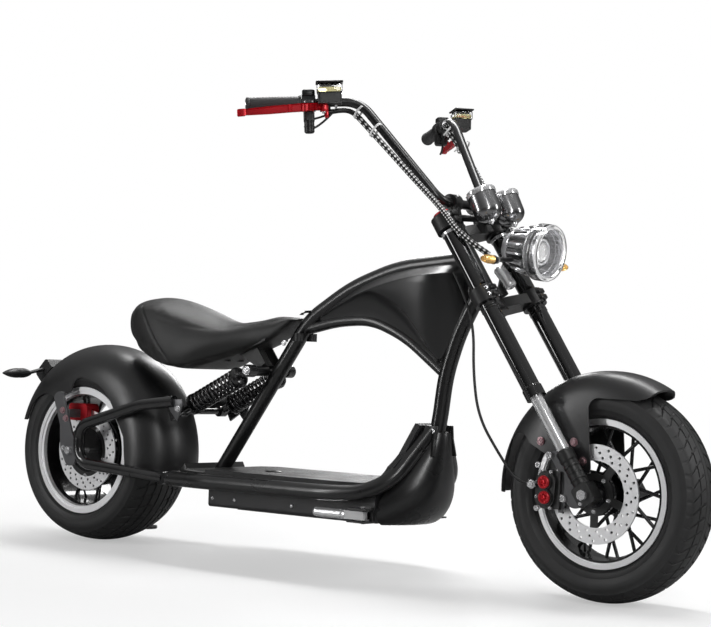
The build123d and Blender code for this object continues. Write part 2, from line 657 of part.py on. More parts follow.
def rear_caliper():
    """Rear brake caliper over the edge of the disc."""
    y = -REAR_DISC_Y
    body = Pos(-20, y, REAR_TYRE_R + REAR_DISC_R - 6) * Box(70, 2 * CALIPER_HALF, 46)
    body = fillet(body.edges().filter_by(Axis.Y), 10)
    reach = DISC_THICK / 2 + 3
    slot = ring_y(REAR_DISC_R + CLEARANCE, 0, y - reach, y + reach, 0, REAR_TYRE_R)
    return body - slot


def side_stand():
    """Side stand leg and its foot, down."""
    pivot = Vector(STAND_X, STAND_Y, STAND_Z)
    low = STAND_FOOT[1] * tan(radians(LEAN)) - CROWN_DROP
    foot = Vector(STAND_FOOT[0], STAND_FOOT[1], low)
    level = Plane(origin=foot, z_dir=(0, -sin(radians(LEAN)), cos(radians(LEAN))))
    down = (foot - pivot).normalized()
    leg = rod(pivot + down * 12.5, foot + Vector(0, 0, 8), 9)
    pad = level * Cylinder(22, 7, align=UP)
    under = level * Cylinder(60, 40, align=DOWN)
    return leg + pad - under + ring_y(15, STAND_PIN_R + RUNNING_GAP, STAND_Y - 6, STAND_Y + 6, STAND_X, STAND_Z)


def stand_pin():
    """Pivot bolt of the side stand."""
    y = ARM_HALF + 3 + PLATE_THICK
    head = ring_y(8, 0, STAND_Y + 6.5, STAND_Y + 11, STAND_X, STAND_Z)
    return ring_y(STAND_PIN_R, 0, y, STAND_Y + 8, STAND_X, STAND_Z) + head


# Front end

def yoke(s, height):
    """Clamp plate that holds both fork tubes and the steering stem."""
    f = fork_plane()
    plate = f * Pos(-STEM_BACK, 0, s) * Cylinder(30, height, align=UP)
    for side in (-1, 1):
        plate += f * Pos(0, side * FORK_HALF, s) * Cylinder(FORK_OUTER_R + 9, height, align=UP)
        arm = outline([
            (-STEM_BACK - 26, 0), (-STEM_BACK + 30, 0), ((4, side * 0.5 * FORK_HALF), (20, side * FORK_HALF)),
            (-22, side * FORK_HALF)], lambda px, py: (px, py, 0))
        plate += f * Pos(0, 0, s + 6) * extrude(arm, height - 12, dir=(0, 0, 1))
    for side in (-1, 1):
        plate -= f * Pos(0, side * FORK_HALF, s - 1) * Cylinder(FORK_OUTER_R, height + 2, align=UP)
        plate -= f * Pos(FORK_OUTER_R + 8, side * FORK_HALF, s - 1) * Box(20, 4, 2 * height + 4)
    return plate


def lower_yoke():
    """Lower yoke with the steering stem pressed into it."""
    stem = rod(fork_point(-STEM_BACK, 0, LOWER_YOKE_S + 4), fork_point(-STEM_BACK, 0, UPPER_YOKE_S), STEM_R)
    return yoke(LOWER_YOKE_S, YOKE_HEIGHT) + stem


def upper_yoke():
    """Upper yoke with the risers that clamp the handlebar."""
    plate = yoke(UPPER_YOKE_S, YOKE_HEIGHT)
    x, z = BAR_BASE
    for side in (-1, 1):
        y = side * RISER_Y
        plate += rod(fork_point(-8, y, UPPER_YOKE_S + 6), (x, y, z), RISER_R)
        plate += rod((x, y - 14, z), (x, y + 14, z), BAR_R + 10)
    return plate - rod((x, -70, z), (x, 70, z), BAR_R)


def fork_tubes():
    """Outer tubes of the fork with their caps and lower collars."""
    tube = turned(fork_plane(-1), [
        (0, COLLAR_S + 33), (STANCHION_R, COLLAR_S + 33), (STANCHION_R, COLLAR_S - 6),
        (FORK_OUTER_R + 2.5, COLLAR_S - 6), (FORK_OUTER_R + 2.5, COLLAR_S + 18), (FORK_OUTER_R, COLLAR_S + 22),
        (FORK_OUTER_R, FORK_TOP_S - 6), (FORK_OUTER_R - 4, FORK_TOP_S), (14, FORK_TOP_S),
        (12, FORK_TOP_S + 5), (0, FORK_TOP_S + 5)])
    return both(tube)


def stanchions():
    """Chromed inner tubes."""
    tube = fork_plane(-1) * Pos(0, 0, LEG_TOP_S - 30) * Cylinder(STANCHION_R, COLLAR_S + 63 - LEG_TOP_S, align=UP)
    return both(tube)


def fork_legs():
    """Lower legs with their axle lugs."""
    f = fork_plane(-1)
    leg = turned(f, [
        (0, 10), (LEG_R, 10), (LEG_R, LEG_TOP_S - 30), (LEG_R + 2, LEG_TOP_S - 26), (LEG_R + 2, LEG_TOP_S - 4),
        (LEG_R - 1, LEG_TOP_S), (0, LEG_TOP_S)])
    lug = f * Box(44, 2 * LUG_HALF, 48)
    leg += fillet(lug.edges().filter_by(Axis.Y), 8)
    leg -= f * Pos(0, 0, LEG_TOP_S - 30) * Cylinder(STANCHION_R, 60, align=UP)
    return both(leg - rod((WHEELBASE, -FORK_HALF - 40, FRONT_TYRE_R), (WHEELBASE, 0, FRONT_TYRE_R), AXLE_R))


def front_axle():
    """Front axle with its bolt heads and spacers."""
    end = FORK_HALF + LUG_HALF
    axle = rod((WHEELBASE, -end, FRONT_TYRE_R), (WHEELBASE, end, FRONT_TYRE_R), AXLE_R)
    for side in (-1, 1):
        head = Plane(origin=(WHEELBASE, side * end, FRONT_TYRE_R), z_dir=(0, side, 0))
        axle += head * extrude(RegularPolygon(12, 6), 8)
        inner, outer = side * (FRONT_DISC_Y - 1.5), side * (FORK_HALF - LUG_HALF)
        axle += ring_y(13, AXLE_R, inner, outer, WHEELBASE, FRONT_TYRE_R)
    return axle


def front_fender():
    """Front fender: a beak over the tyre, side skirts down to the fork and a slotted rear."""
    x, z, half = WHEELBASE, FRONT_TYRE_R, FRONT_FENDER_HALF
    shell = fender_shell(FRONT_FENDER_R, half, 30, x, z)
    # Side view round the axle, in hundredths of the fender's radius
    kept = outline([
        (2.2, 77.6), ((-5.1, 75), (-7, 67.6)), (-3.3, 23.2), ((-5.1, 16.2), (-14, 14.3)), (-63.2, 38.2),
        ((-78.3, 44.9), (-86.8, 29.4)), (-89.7, 11), (-89, -4.8), (-115, -4.8), (-115, 115), (55.1, 115),
        (55.1, 75.4)], lambda ahead, up: (x + FRONT_FENDER_R * ahead / 100, 0, z + FRONT_FENDER_R * up / 100))
    root, mid, tip = 0.02 * FRONT_FENDER_R, 0.34 * FRONT_FENDER_R, 0.49 * FRONT_FENDER_R
    beak = outline([(root, -half - 5), ((mid, -0.6 * half), (tip, 0)), ((mid, 0.6 * half), (root, half + 5)),
                    (tip + 26, half + 5), (tip + 26, -half - 5)],
                   lambda ahead, across: (x + ahead, across, z + 0.55 * FRONT_FENDER_R))
    shell = shell & extrude(kept, amount=half + 1, both=True, dir=(0, 1, 0))
    return shell - extrude(beak, amount=200, dir=(0, 0, 1))


def front_caliper():
    """Front brake caliper with a round housing for each piston."""
    y = -FRONT_DISC_Y
    x, z = WHEELBASE + CALIPER_AT[0], FRONT_TYRE_R + CALIPER_AT[1]
    half = CALIPER_HALF + 6
    plane = Plane(origin=(x, y - half, z), x_dir=(0.07, 0, 1), z_dir=(0, 1, 0))
    body = plane * extrude(SlotCenterToCenter(34, 50), 2 * half)
    body += Pos(x + 18, y, z) * Box(34, 2 * half - 12, 84)
    reach = DISC_THICK / 2 + 3
    body -= ring_y(FRONT_DISC_R + CLEARANCE, 0, y - reach, y + reach, WHEELBASE, FRONT_TYRE_R)
    for side in (-1, 1):
        body += ring_y(18, 0, y - half - 4, y - half, x - side * 1.2, z + side * 17)
    return body + rod((x - 32, y - 18, z + 10), (x - 20, y - 18, z + 10), 6)


def caliper_pistons():
    """Round caps on the outer face of the front caliper."""
    y = -FRONT_DISC_Y - CALIPER_HALF - 10
    x, z = WHEELBASE + CALIPER_AT[0], FRONT_TYRE_R + CALIPER_AT[1]
    caps = []
    for side in (-1, 1):
        place = Plane(origin=(x - side * 1.2, y, z + side * 17), z_dir=(0, -1, 0))
        caps.append(turned(place, [(0, 0), (14.5, 0), (14.5, 3), (12.5, 5), (9, 5), (8, 3), (0, 3)]))
    return Compound(children=caps)


def caliper_bracket():
    """Plate from the fork lug to the caliper."""
    x, z = WHEELBASE, FRONT_TYRE_R
    # Outline round the axle, in hundredths of the disc's radius
    face = outline([
        (-98, 67), ((-94.5, 80), (-82, 74.5)), (-31, 20), (-14.5, -11), ((-36.4, -31), (-60, -18)), (-67, -42),
        (-76.4, -42), (-76.4, 36.4)],
        lambda ahead, up: (x + FRONT_DISC_R * ahead / 100, LUG_HALF - FORK_HALF + 0.2, z + FRONT_DISC_R * up / 100))
    return extrude(face, amount=4.5, dir=(0, 1, 0)) - front_caliper()


def handlebar():
    """High handlebar from one tube."""
    cx, cy, cz = BAR_CORNER
    ex, ey, ez = BAR_END
    bx, bz = BAR_BASE
    points = [(ex, -ey, ez), (cx, -cy, cz), (bx, -94, bz), (bx, 94, bz), (cx, cy, cz), (ex, ey, ez)]
    return bent_tube(points, [75, 40, 40, 75], BAR_R)


def bar_plane():
    """Local frame on the right bar end: z outboard along the grip, x forward, y up."""
    a, b = Vector(BAR_CORNER[0], -BAR_CORNER[1], BAR_CORNER[2]), Vector(BAR_END[0], -BAR_END[1], BAR_END[2])
    along = (b - a).normalized()
    return Plane(origin=b, x_dir=Vector(0, 0, 1).cross(along).normalized(), z_dir=along)


def grips():
    """Rubber grips with a collar at each end."""
    grip = turned(bar_plane(), [
        (0, 0), (BAR_R, 0), (BAR_R, -GRIP_LENGTH), (GRIP_R + 2, -GRIP_LENGTH), (GRIP_R + 2, 5 - GRIP_LENGTH),
        (GRIP_R, 8 - GRIP_LENGTH), (GRIP_R, -8), (GRIP_R + 1, -5), (GRIP_R + 1, 1), (GRIP_R - 2, 4), (0, 4)])
    return both(grip)


def switch_housings():
    """Throttle and switch housings inboard of the grips."""
    body = Pos(0, 0, -GRIP_LENGTH - 1) * Cylinder(21, 32, align=DOWN)
    box = Pos(0, -20, -GRIP_LENGTH - 17) * Box(26, 44, 26)
    body += fillet(box.edges().filter_by(Axis.Y), 6)
    body -= Pos(0, 0, -GRIP_LENGTH) * Cylinder(BAR_R, 40, align=DOWN)
    return both(bar_plane() * body)


def brake_masters():
    """Brake cylinders clamped to the bar, with a square foot for the reservoir."""
    body = Pos(0, 0, -GRIP_LENGTH - 42) * Cylinder(18, 26, align=DOWN)
    block = Pos(38, 4, -GRIP_LENGTH - 66) * Box(44, 26, 56)
    body += fillet(block.edges().filter_by(Axis.Y), 6)
    body -= Pos(0, 0, -GRIP_LENGTH) * Cylinder(BAR_R, 90, align=DOWN)
    return both(bar_plane() * body)


def reservoirs():
    """Clear brake fluid reservoirs with their lids."""
    cup = Pos(40, 30, -GRIP_LENGTH - 66) * Box(46, 26, 60)
    cup = fillet(cup.edges().filter_by(Axis.Y), 8)
    lid = Pos(40, 45, -GRIP_LENGTH - 66) * Box(50, 5, 64)
    return both(bar_plane() * (cup + fillet(lid.edges().filter_by(Axis.Y), 10)))


def brake_levers():
    """Brake levers with a ball at the tip."""
    root = -GRIP_LENGTH - 56
    path = [(34, -15, root), (56, -15, root + 36), (52, -15, 0), (50, -15, 18)]
    blade = bent_tube(path, [20, 60], 5) + rod((34, -15, root), (34, -9, root), 6)
    return both(bar_plane() * (blade + Pos(*path[-1]) * Sphere(7.5)))


def lamp_plane():
    """Local frame at the back of the headlight, z towards its lens."""
    a = radians(LAMP_DROP)
    x, z = LAMP_FRONT
    return Plane(origin=(x - LAMP_LENGTH * cos(a), 0, z + LAMP_LENGTH * sin(a)), x_dir=(0, 1, 0),
                 z_dir=(cos(a), 0, -sin(a)))


def lamp_bracket():
    """Foot, post and horn ear that carry the headlight on the lower yoke."""
    s = LOWER_YOKE_S + YOKE_HEIGHT - 6
    knee = fork_point(-5, 0, s + 20)
    foot = fork_plane() * Pos(-5, 0, s) * Cylinder(10, 24, align=UP)
    back = lamp_plane().from_local_coords(Vector(0, 0, 14))
    ear, level = WHEELBASE - 288, FRONT_TYRE_R + 485
    return foot + rod(knee, back, 8) + rod((ear, 0, level), (ear, -10.6, level), 6)


def headlight():
    """Headlight bucket with a domed back, ribs along it and a deep bezel."""
    face = LAMP_LENGTH
    bucket = turned(lamp_plane(), [
        (0, 0), (20, 0), ((38, 8), (47, 26)), (56, 74), (58, 80), (LAMP_R - 3, 84), (LAMP_R, 90),
        (LAMP_R, face - 6), (LAMP_R - 3, face), (LAMP_R - 9, face), (LAMP_R - 10, face - 3), (0, face - 3)])
    return bucket + lamp_bracket() - lower_yoke()


def gauges():
    """Two gauge cups with domed bottoms, facing the rider."""
    cups = []
    gx, gy, gz = GAUGE_AT
    a = radians(GAUGE_TILT)
    clamp = upper_yoke()
    for side in (-1, 1):
        low = Vector(gx + 38 * sin(a), side * gy, gz - 38 * cos(a))
        place = Plane(origin=low, x_dir=(0, 1, 0), z_dir=(-sin(a), 0, cos(a)))
        cup = turned(place, [
            (0, 0), (12, 0), ((27, 5), (GAUGE_R, 20)), (GAUGE_R, 66), (GAUGE_R + 2, 68), (GAUGE_R + 2, 76),
            (GAUGE_R - 3, 78), (GAUGE_R - 4, 74), (0, 74)])
        cups.append(cup + (rod(fork_point(6, side * gy, UPPER_YOKE_S + 10), (gx, side * gy, gz - 4), 8) - clamp))
    return Compound(children=cups)


def front_signals():
    """Amber turn signals on their stalks."""
    x, z = LAMP_FRONT
    start = Vector(x - 76, 16 - LAMP_R, z - 17)
    end = Vector(x - 71, -62 - LAMP_R, z - 22)
    lamp = turned(Plane(origin=end, z_dir=(0.02, -1, 0)), [
        (0, 0), (8, 0), (11, 5), (12.5, 12), ((12, 34), (7, 50)), ((5, 54), (2, 55)), (0, 55)])
    return both(rod(start, end + Vector(0, -2, 0), 5.5) + lamp - headlight())


def horn():
    """Small horn on its ear below the headlight."""
    x, z = WHEELBASE - 304, FRONT_TYRE_R + 499
    a, b = Vector(x, -25.2, z), Vector(x + 40, -25.2, z - 44)
    return turned(Plane(origin=a, z_dir=b - a), [
        (0, 0), (10, 0), ((13, 2), (14, 8)), (14, 48), ((13, 56), (9, 59)), (0, 59)])


def brake_hose():
    """Front brake hose from the yoke down to the caliper."""
    x, z = WHEELBASE + CALIPER_AT[0] - 32, FRONT_TYRE_R + CALIPER_AT[1] + 10
    # Columns: behind the front axle, across, above the front axle
    fall = [(388, -85, 486), (354, -88, 436), (312, -104, 357), (304, -112, 257), (286, -112, 157),
            (226, -112, 75)]
    points = [(WHEELBASE - back, y, FRONT_TYRE_R + up) for back, y, up in fall]
    return bent_tube(points + [(x - 40, -84, z + 2), (x - 0.3, -84, z)], HOSE_RADII, HOSE_R)


def looms():
    """Braided looms along the handlebar."""
    # Columns: behind the front axle, across, above the front axle
    run = [(614, -190, 853), (540, -176, 781), (462, -146, 695), (397, -128, 630.5), (349, -121, 568.5),
           (308, -60, 529)]
    points = [(WHEELBASE - back, y, FRONT_TYRE_R + up) for back, y, up in run]
    return both(bent_tube(points, LOOM_RADII, LOOM_R))


NODES = {
    "spine_frame": spine_frame, "deck_rails": deck_rails, "deck_pan": deck_pan, "deck_mat": deck_mat,
    "battery_box": battery_box, "nose_guard": nose_guard, "tank_body": tank_body,
    "peg_brackets": peg_brackets, "right_peg": foot_peg, "left_peg": lambda: mirrored(foot_peg()),
    "seat": seat, "seat_bracket": seat_bracket, "swingarm": swingarm, "axle_plates": axle_plates,
    "rear_axle": rear_axle, "shock_absorbers": shock_absorbers, "shock_springs": shock_springs,
    "rear_fender": rear_fender, "tail_lamp": tail_lamp, "rear_signals": rear_signals,
    "rear_caliper": rear_caliper, "side_stand": side_stand, "stand_pin": stand_pin,
    "lower_yoke": lower_yoke, "upper_yoke": upper_yoke, "fork_tubes": fork_tubes,
    "stanchions": stanchions, "fork_legs": fork_legs, "front_axle": front_axle,
    "front_fender": front_fender, "front_caliper": front_caliper, "caliper_pistons": caliper_pistons,
    "caliper_bracket": caliper_bracket, "handlebar": handlebar, "grips": grips,
    "switch_housings": switch_housings, "brake_masters": brake_masters, "reservoirs": reservoirs,
    "brake_levers": brake_levers, "headlight": headlight, "gauges": gauges,
    "front_signals": front_signals, "horn": horn, "brake_hose": brake_hose, "looms": looms,
    "front_tyre": lambda: tyre(FRONT_TYRE_R, FRONT_TYRE_HALF, FRONT_RIM_R, FRONT_RIM_HALF, WHEELBASE),
    "front_rim": front_rim,
    "front_disc": lambda: brake_disc(FRONT_DISC_R, -FRONT_DISC_Y, WHEELBASE, FRONT_TYRE_R, 30),
    "rear_tyre": lambda: tyre(REAR_TYRE_R, REAR_TYRE_HALF, REAR_RIM_R, REAR_RIM_HALF, 0.0),
    "rear_rim": rear_rim,
    "rear_disc": lambda: brake_disc(REAR_DISC_R, -REAR_DISC_Y, 0.0, REAR_TYRE_R, 60),
}


def park(shape):
    """Lean the upright piece onto the side stand, about the line on the floor under the wheels."""
    return Rot(-LEAN, 0, 0) * shape


os.makedirs("parts", exist_ok=True)
pieces = {name: park(make()) for name, make in NODES.items()}
box = Compound(children=[Compound(children=list(p.solids())) for p in pieces.values()]).bounding_box()
shift = Pos(-box.center().X, -box.center().Y, -box.min.Z)
print("origin shift", -box.center().X, -box.center().Y, -box.min.Z)
print("bend radii of the hose", HOSE_RADII, "and of the looms", LOOM_RADII)
for name, piece in pieces.items():
    export_step(shift * piece, f"parts/{name}.step")
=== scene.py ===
"""An electric chopper scooter with a low floor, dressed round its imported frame.

Shapes are drawn in millimetres in the upright vehicle's own frame: x forward from the rear axle, y to
its left, z up from the floor. PARKED puts them where the vehicle leans on its stand, in metres.
"""
import logging
import math
from dataclasses import dataclass
from enum import Enum
from typing import Iterable, Optional, Sequence

import bmesh
import bpy
from mathutils import Matrix, Vector
from mathutils.bvhtree import BVHTree


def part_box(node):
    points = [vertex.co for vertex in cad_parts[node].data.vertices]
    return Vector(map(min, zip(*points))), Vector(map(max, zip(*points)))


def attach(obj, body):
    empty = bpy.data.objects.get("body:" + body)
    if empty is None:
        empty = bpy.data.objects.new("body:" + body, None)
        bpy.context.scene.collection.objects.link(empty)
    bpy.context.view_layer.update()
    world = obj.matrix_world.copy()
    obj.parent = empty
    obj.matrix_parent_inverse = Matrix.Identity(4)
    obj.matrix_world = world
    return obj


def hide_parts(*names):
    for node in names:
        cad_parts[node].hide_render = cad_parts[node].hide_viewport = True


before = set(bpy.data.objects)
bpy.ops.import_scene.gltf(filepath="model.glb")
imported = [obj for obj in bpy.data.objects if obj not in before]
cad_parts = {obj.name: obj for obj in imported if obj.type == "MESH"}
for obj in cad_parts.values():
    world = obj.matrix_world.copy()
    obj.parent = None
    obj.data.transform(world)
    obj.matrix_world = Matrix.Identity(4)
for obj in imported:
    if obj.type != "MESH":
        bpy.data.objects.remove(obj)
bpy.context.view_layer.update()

LOG = logging.getLogger("scooter")
Point = Sequence[float]
Profile = Sequence[tuple[float, float]]
Colour = tuple[float, float, float]

# Sizes and places of the CAD, in its millimetres and in radians; cord lengths in metres
MM = 0.001
LEAN = math.radians(3.5)
RAKE = math.radians(34.0)
WHEELBASE = 1592.0
FRONT_R = 243.0
REAR_R = 245.0
FORK_HALF = 100.0
STEM_BACK = 45.0
UPPER_YOKE_S = 702.0
LOWER_YOKE_S = 499.0
YOKE_HEIGHT = 38.0
GRIP_LENGTH = 128.0
BAR_R = 11.1
TURN = 2 * math.pi
LOOM_LENGTH = 0.47
HOSE_LENGTH = 0.57
LAMP_R = 66.0
LAMP_LENGTH = 122.0
LAMP_FACE = (1416.0, 777.0)
LAMP_DROP = math.radians(7.0)
BAR_BEND = Vector((990.0, -190.0, 1124.0))
BAR_END = Vector((788.0, -360.0, 1106.0))
SMOOTH_EDGE = 32.0
UNMOVED = Matrix()
ACROSS = Matrix.Scale(-1, 4, (0, 1, 0))


class Body(Enum):
    """The bodies that pieces ride on."""

    CHASSIS = "chassis"
    FRONT_END = "front_end"
    FRONT_WHEEL = "front_wheel"
    REAR_WHEEL = "rear_wheel"
    STAND = "stand"
    PEG_RIGHT = "peg_right"
    PEG_LEFT = "peg_left"


def parked() -> tuple[Matrix, Vector]:
    """Place of the leaning vehicle, and the shift of its frame.

    Returns:
        The matrix from upright millimetres to metres at rest, and the shift alone, in metres.
    """
    lean = Matrix.Rotation(-LEAN, 4, "X")
    low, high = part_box("rear_axle")
    middle = (Vector(low) + Vector(high)) / 2
    shift = middle - lean @ Vector((0, 0, REAR_R)) * MM
    return Matrix.Translation(shift) @ lean @ Matrix.Scale(MM, 4), shift


PARKED, SHIFT = parked()


def basis(origin: Point, x_dir: Point, z_dir: Point) -> Matrix:
    """Local frame from its origin and two of its axes."""
    z = Vector(z_dir).normalized()
    x = Vector(x_dir)
    x = (x - z * x.dot(z)).normalized()
    frame_matrix = Matrix((x, z.cross(x), z)).transposed().to_4x4()
    frame_matrix.translation = Vector(origin)
    return frame_matrix


def along(start: Point, end: Point, x_dir: Point = (0.02, 1, 0.1)) -> Matrix:
    """Local frame at start with z towards end."""
    return basis(start, x_dir, Vector(end) - Vector(start))


def at(x: float, y: float, z: float) -> Matrix:
    """Shift of a local frame."""
    return Matrix.Translation((x, y, z))


def fork_frame(side: int = 0) -> Matrix:
    """Frame on the fork: origin on the front axle, x forward, y left, z up the tubes."""
    c, s = math.cos(RAKE), math.sin(RAKE)
    return basis((WHEELBASE, side * FORK_HALF, FRONT_R), (c, 0, s), (-s, 0, c))


def bar_frame() -> Matrix:
    """Frame on the right end of the bar: z outboard along the grip, x forward, y up."""
    way = (BAR_END - BAR_BEND).normalized()
    return basis(BAR_END, Vector((0, 0, 1)).cross(way), way)


def lamp_frame() -> Matrix:
    """Frame at the back of the headlight, z towards its lens."""
    c, s = math.cos(LAMP_DROP), math.sin(LAMP_DROP)
    return basis((LAMP_FACE[0] - LAMP_LENGTH * c, 0, LAMP_FACE[1] + LAMP_LENGTH * s), (0, 1, 0), (c, 0, -s))


def wheel_frame(x: float, radius: float) -> Matrix:
    """Frame on a wheel: z along the axle to the left."""
    return basis((x, 0, radius), (1, 0, 0), (0, 1, 0))


def rightwards(x: float, y: float, z: float) -> Matrix:
    """Frame at a point with z to the right side."""
    return basis((x, y, z), (1, 0, 0), (0, -1, 0))


# Modelling

def linked(name: str, data: bpy.types.ID) -> bpy.types.Object:
    """New object in the scene."""
    made = bpy.data.objects.new(name, data)
    bpy.context.scene.collection.objects.link(made)
    return made


def mesh_of(form: bmesh.types.BMesh, name: str = "part") -> bpy.types.Mesh:
    """Mesh of a form, which is used up."""
    mesh = bpy.data.meshes.new(name)
    form.to_mesh(mesh)
    form.free()
    return mesh


def form_of(mesh: bpy.types.Mesh, form: Optional[bmesh.types.BMesh] = None) -> bmesh.types.BMesh:
    """Form of a mesh, which is used up, added to another form if one is given."""
    form = bmesh.new() if form is None else form
    form.from_mesh(mesh)
    bpy.data.meshes.remove(mesh)
    return form


def curve_form(curve: bpy.types.Curve) -> bmesh.types.BMesh:
    """Form of a curve or a text, which is used up."""
    holder = bpy.data.objects.new("part", curve)
    form = form_of(bpy.data.meshes.new_from_object(holder))
    bpy.data.objects.remove(holder)
    bpy.data.curves.remove(curve)
    return form


def smooth_curve(name: str, points: Sequence[Point], radius: float, sides: int, steps: int) -> bpy.types.Curve:
    """Round cord along a smooth spline through a few control points.

    Args:
        name: Name of the curve.
        points: Control points.
        radius: Radius of the cord.
        sides: How round it is.
        steps: Steps between two control points.

    Returns:
        The curve.
    """
    curve = bpy.data.curves.new(name, "CURVE")
    curve.dimensions = "3D"
    curve.bevel_depth = radius
    curve.bevel_resolution = sides
    curve.resolution_u = steps
    curve.use_fill_caps = True
    spline = curve.splines.new("NURBS")
    spline.points.add(len(points) - 1)
    for knot, point in zip(spline.points, points):
        knot.co = (*point, 1)
    spline.order_u = 3
    spline.use_endpoint_u = True
    return curve


def spun(form: bmesh.types.BMesh, geom: list, steps: int) -> None:
    """Spin a line full circle about the z axis and close it."""
    bmesh.ops.spin(form, geom=geom, cent=(0, 0, 0), axis=(0, 0, 1), angle=TURN, steps=steps, use_merge=True)


def turned(profile: Profile, steps: int = 36) -> bmesh.types.BMesh:
    """Spin an open profile of (radius, height) about the z axis."""
    form = bmesh.new()
    verts = [form.verts.new((r, 0, h)) for r, h in profile]
    spun(form, verts + [form.edges.new(pair) for pair in zip(verts, verts[1:])], steps)
    bmesh.ops.remove_doubles(form, verts=form.verts, dist=1e-3)
    return form


def closed_turn(profile: Profile, steps: int) -> bmesh.types.BMesh:
    """Spin a closed outline of (radius, height) about the z axis; a vertex layer keeps each one's row."""
    form = bmesh.new()
    layer = form.verts.layers.int.new("row")
    verts = [form.verts.new((r, 0, h)) for r, h in profile]
    for row, vert in enumerate(verts):
        vert[layer] = row
    spun(form, verts + [form.edges.new(pair) for pair in zip(verts, verts[1:] + verts[:1])], steps)
    return form


def arc(start: Point, through: Point, end: Point, count: int) -> list[tuple[float, float]]:
    """Points on the arc through three points, ends included."""
    (ax, ay), (bx, by), (cx, cy) = start, through, end
    d = 2 * (ax * (by - cy) + bx * (cy - ay) + cx * (ay - by))
    a2, b2, c2 = ax * ax + ay * ay, bx * bx + by * by, cx * cx + cy * cy
    x = (a2 * (by - cy) + b2 * (cy - ay) + c2 * (ay - by)) / d
    y = (a2 * (cx - bx) + b2 * (ax - cx) + c2 * (bx - ax)) / d
    reach = math.hypot(ax - x, ay - y)
    first, mid, last = (math.atan2(q - y, p - x) for p, q in (start, through, end))
    sweep = (last - first) % TURN
    if (mid - first) % TURN > sweep:
        sweep -= TURN
    turns = (first + sweep * i / (count - 1) for i in range(count))
    return [(x + reach * math.cos(turn), y + reach * math.sin(turn)) for turn in turns]


def outline(steps: Sequence, scale: float = 1.0, count: int = 9) -> list[tuple[float, float]]:
    """Points of an outline; a pair of points is an arc through the first to the second."""
    points = [steps[0]]
    for step in steps[1:]:
        if isinstance(step[0], tuple):
            points += arc(points[-1], *step, count)[1:]
        else:
            points.append(step)
    return [(x * scale, y * scale) for x, y in points]


def plate(edge: Profile, thick: float, bevel: float = 0.0, segments: int = 2) -> bmesh.types.BMesh:
    """Flat piece from an edge of (x, y), raised along z by thick."""
    form = bmesh.new()
    face = form.faces.new([form.verts.new((x, y, 0)) for x, y in edge])
    raised = bmesh.ops.extrude_face_region(form, geom=[face], use_keep_orig=True)["geom"]
    bmesh.ops.translate(form, vec=(0, 0, thick), verts=[g for g in raised if isinstance(g, bmesh.types.BMVert)])
    if bevel:
        soften(form, bevel, segments)
    return form


def block(x: float, y: float, z: float, bevel: float = 0.0, segments: int = 2) -> bmesh.types.BMesh:
    """Box about the origin with rounded edges."""
    form = bmesh.new()
    bmesh.ops.create_cube(form, size=1)
    bmesh.ops.scale(form, vec=(x, y, z), verts=form.verts)
    if bevel:
        soften(form, bevel, segments)
    return form


def soften(form: bmesh.types.BMesh, bevel: float, segments: int = 2, angle: float = 30.0) -> None:
    """Round the edges that are sharper than an angle in degrees."""
    bmesh.ops.recalc_face_normals(form, faces=form.faces)
    sharp = [e for e in form.edges if len(e.link_faces) == 2 and e.calc_face_angle(0) > math.radians(angle)]
    bmesh.ops.bevel(form, geom=sharp, offset=bevel, offset_type="OFFSET", affect="EDGES", segments=segments,
                    profile=0.5, material=-1)


def bar(length: float, radius: float, sides: int = 20, end: Optional[float] = None) -> bmesh.types.BMesh:
    """Round bar up the z axis from the origin, tapered to an end radius if one is given."""
    form = bmesh.new()
    bmesh.ops.create_cone(form, cap_ends=True, segments=sides, radius1=radius,
                          radius2=radius if end is None else end, depth=length)
    bmesh.ops.translate(form, vec=(0, 0, length / 2), verts=form.verts)
    return form


def between(value: float, table: Sequence[tuple[float, float]]) -> float:
    """Value read from a table of places and values, straight between its rows."""
    if value <= table[0][0]:
        return table[0][1]
    for (low, a), (high, b) in zip(table, table[1:]):
        if value <= high:
            return a + (b - a) * (value - low) / (high - low)
    return table[-1][1]


def smooth_rows(rows: Sequence[Sequence[float]], parts: int) -> list[list[float]]:
    """Rows on a smooth curve through given rows, with a number of parts between each pair."""
    made = []
    for i in range(len(rows) - 1):
        a, b, c, d = (rows[max(0, min(len(rows) - 1, j))] for j in (i - 1, i, i + 1, i + 2))
        for step in range(parts):
            t = step / parts
            made.append([0.5 * (2 * q + (r - p) * t + (2 * p - 5 * q + 4 * r - u) * t * t
                                + (3 * q - p - 3 * r + u) * t ** 3) for p, q, r, u in zip(a, b, c, d)])
    return made + [list(rows[-1])]


def loft(sections: Sequence[Sequence[Point]]) -> bmesh.types.BMesh:
    """Skin through closed sections that have the same number of points."""
    form = bmesh.new()
    rings = [[form.verts.new(point) for point in section] for section in sections]
    loops = [[form.edges.new(pair) for pair in zip(ring, ring[1:] + ring[:1])] for ring in rings]
    for one, two in zip(loops, loops[1:]):
        bmesh.ops.bridge_loops(form, edges=one + two)
    for ring in (rings[0], rings[-1]):
        form.faces.new(ring)
    bmesh.ops.recalc_face_normals(form, faces=form.faces)
    return form


def trimmed(form: bmesh.types.BMesh, cutter: bmesh.types.BMesh, operation: str) -> bmesh.types.BMesh:
    """What is left of a closed form after a boolean operation with another."""
    for part in (form, cutter):
        bmesh.ops.recalc_face_normals(part, faces=part.faces)
    holders = [linked("part", mesh_of(part)) for part in (form, cutter)]
    cut = holders[0].modifiers.new("cut", "BOOLEAN")
    cut.operation, cut.object, cut.solver = operation, holders[1], "EXACT"
    left = form_of(applied(holders[0]))
    for holder in holders:
        bpy.data.meshes.remove(holder.data)
    return left


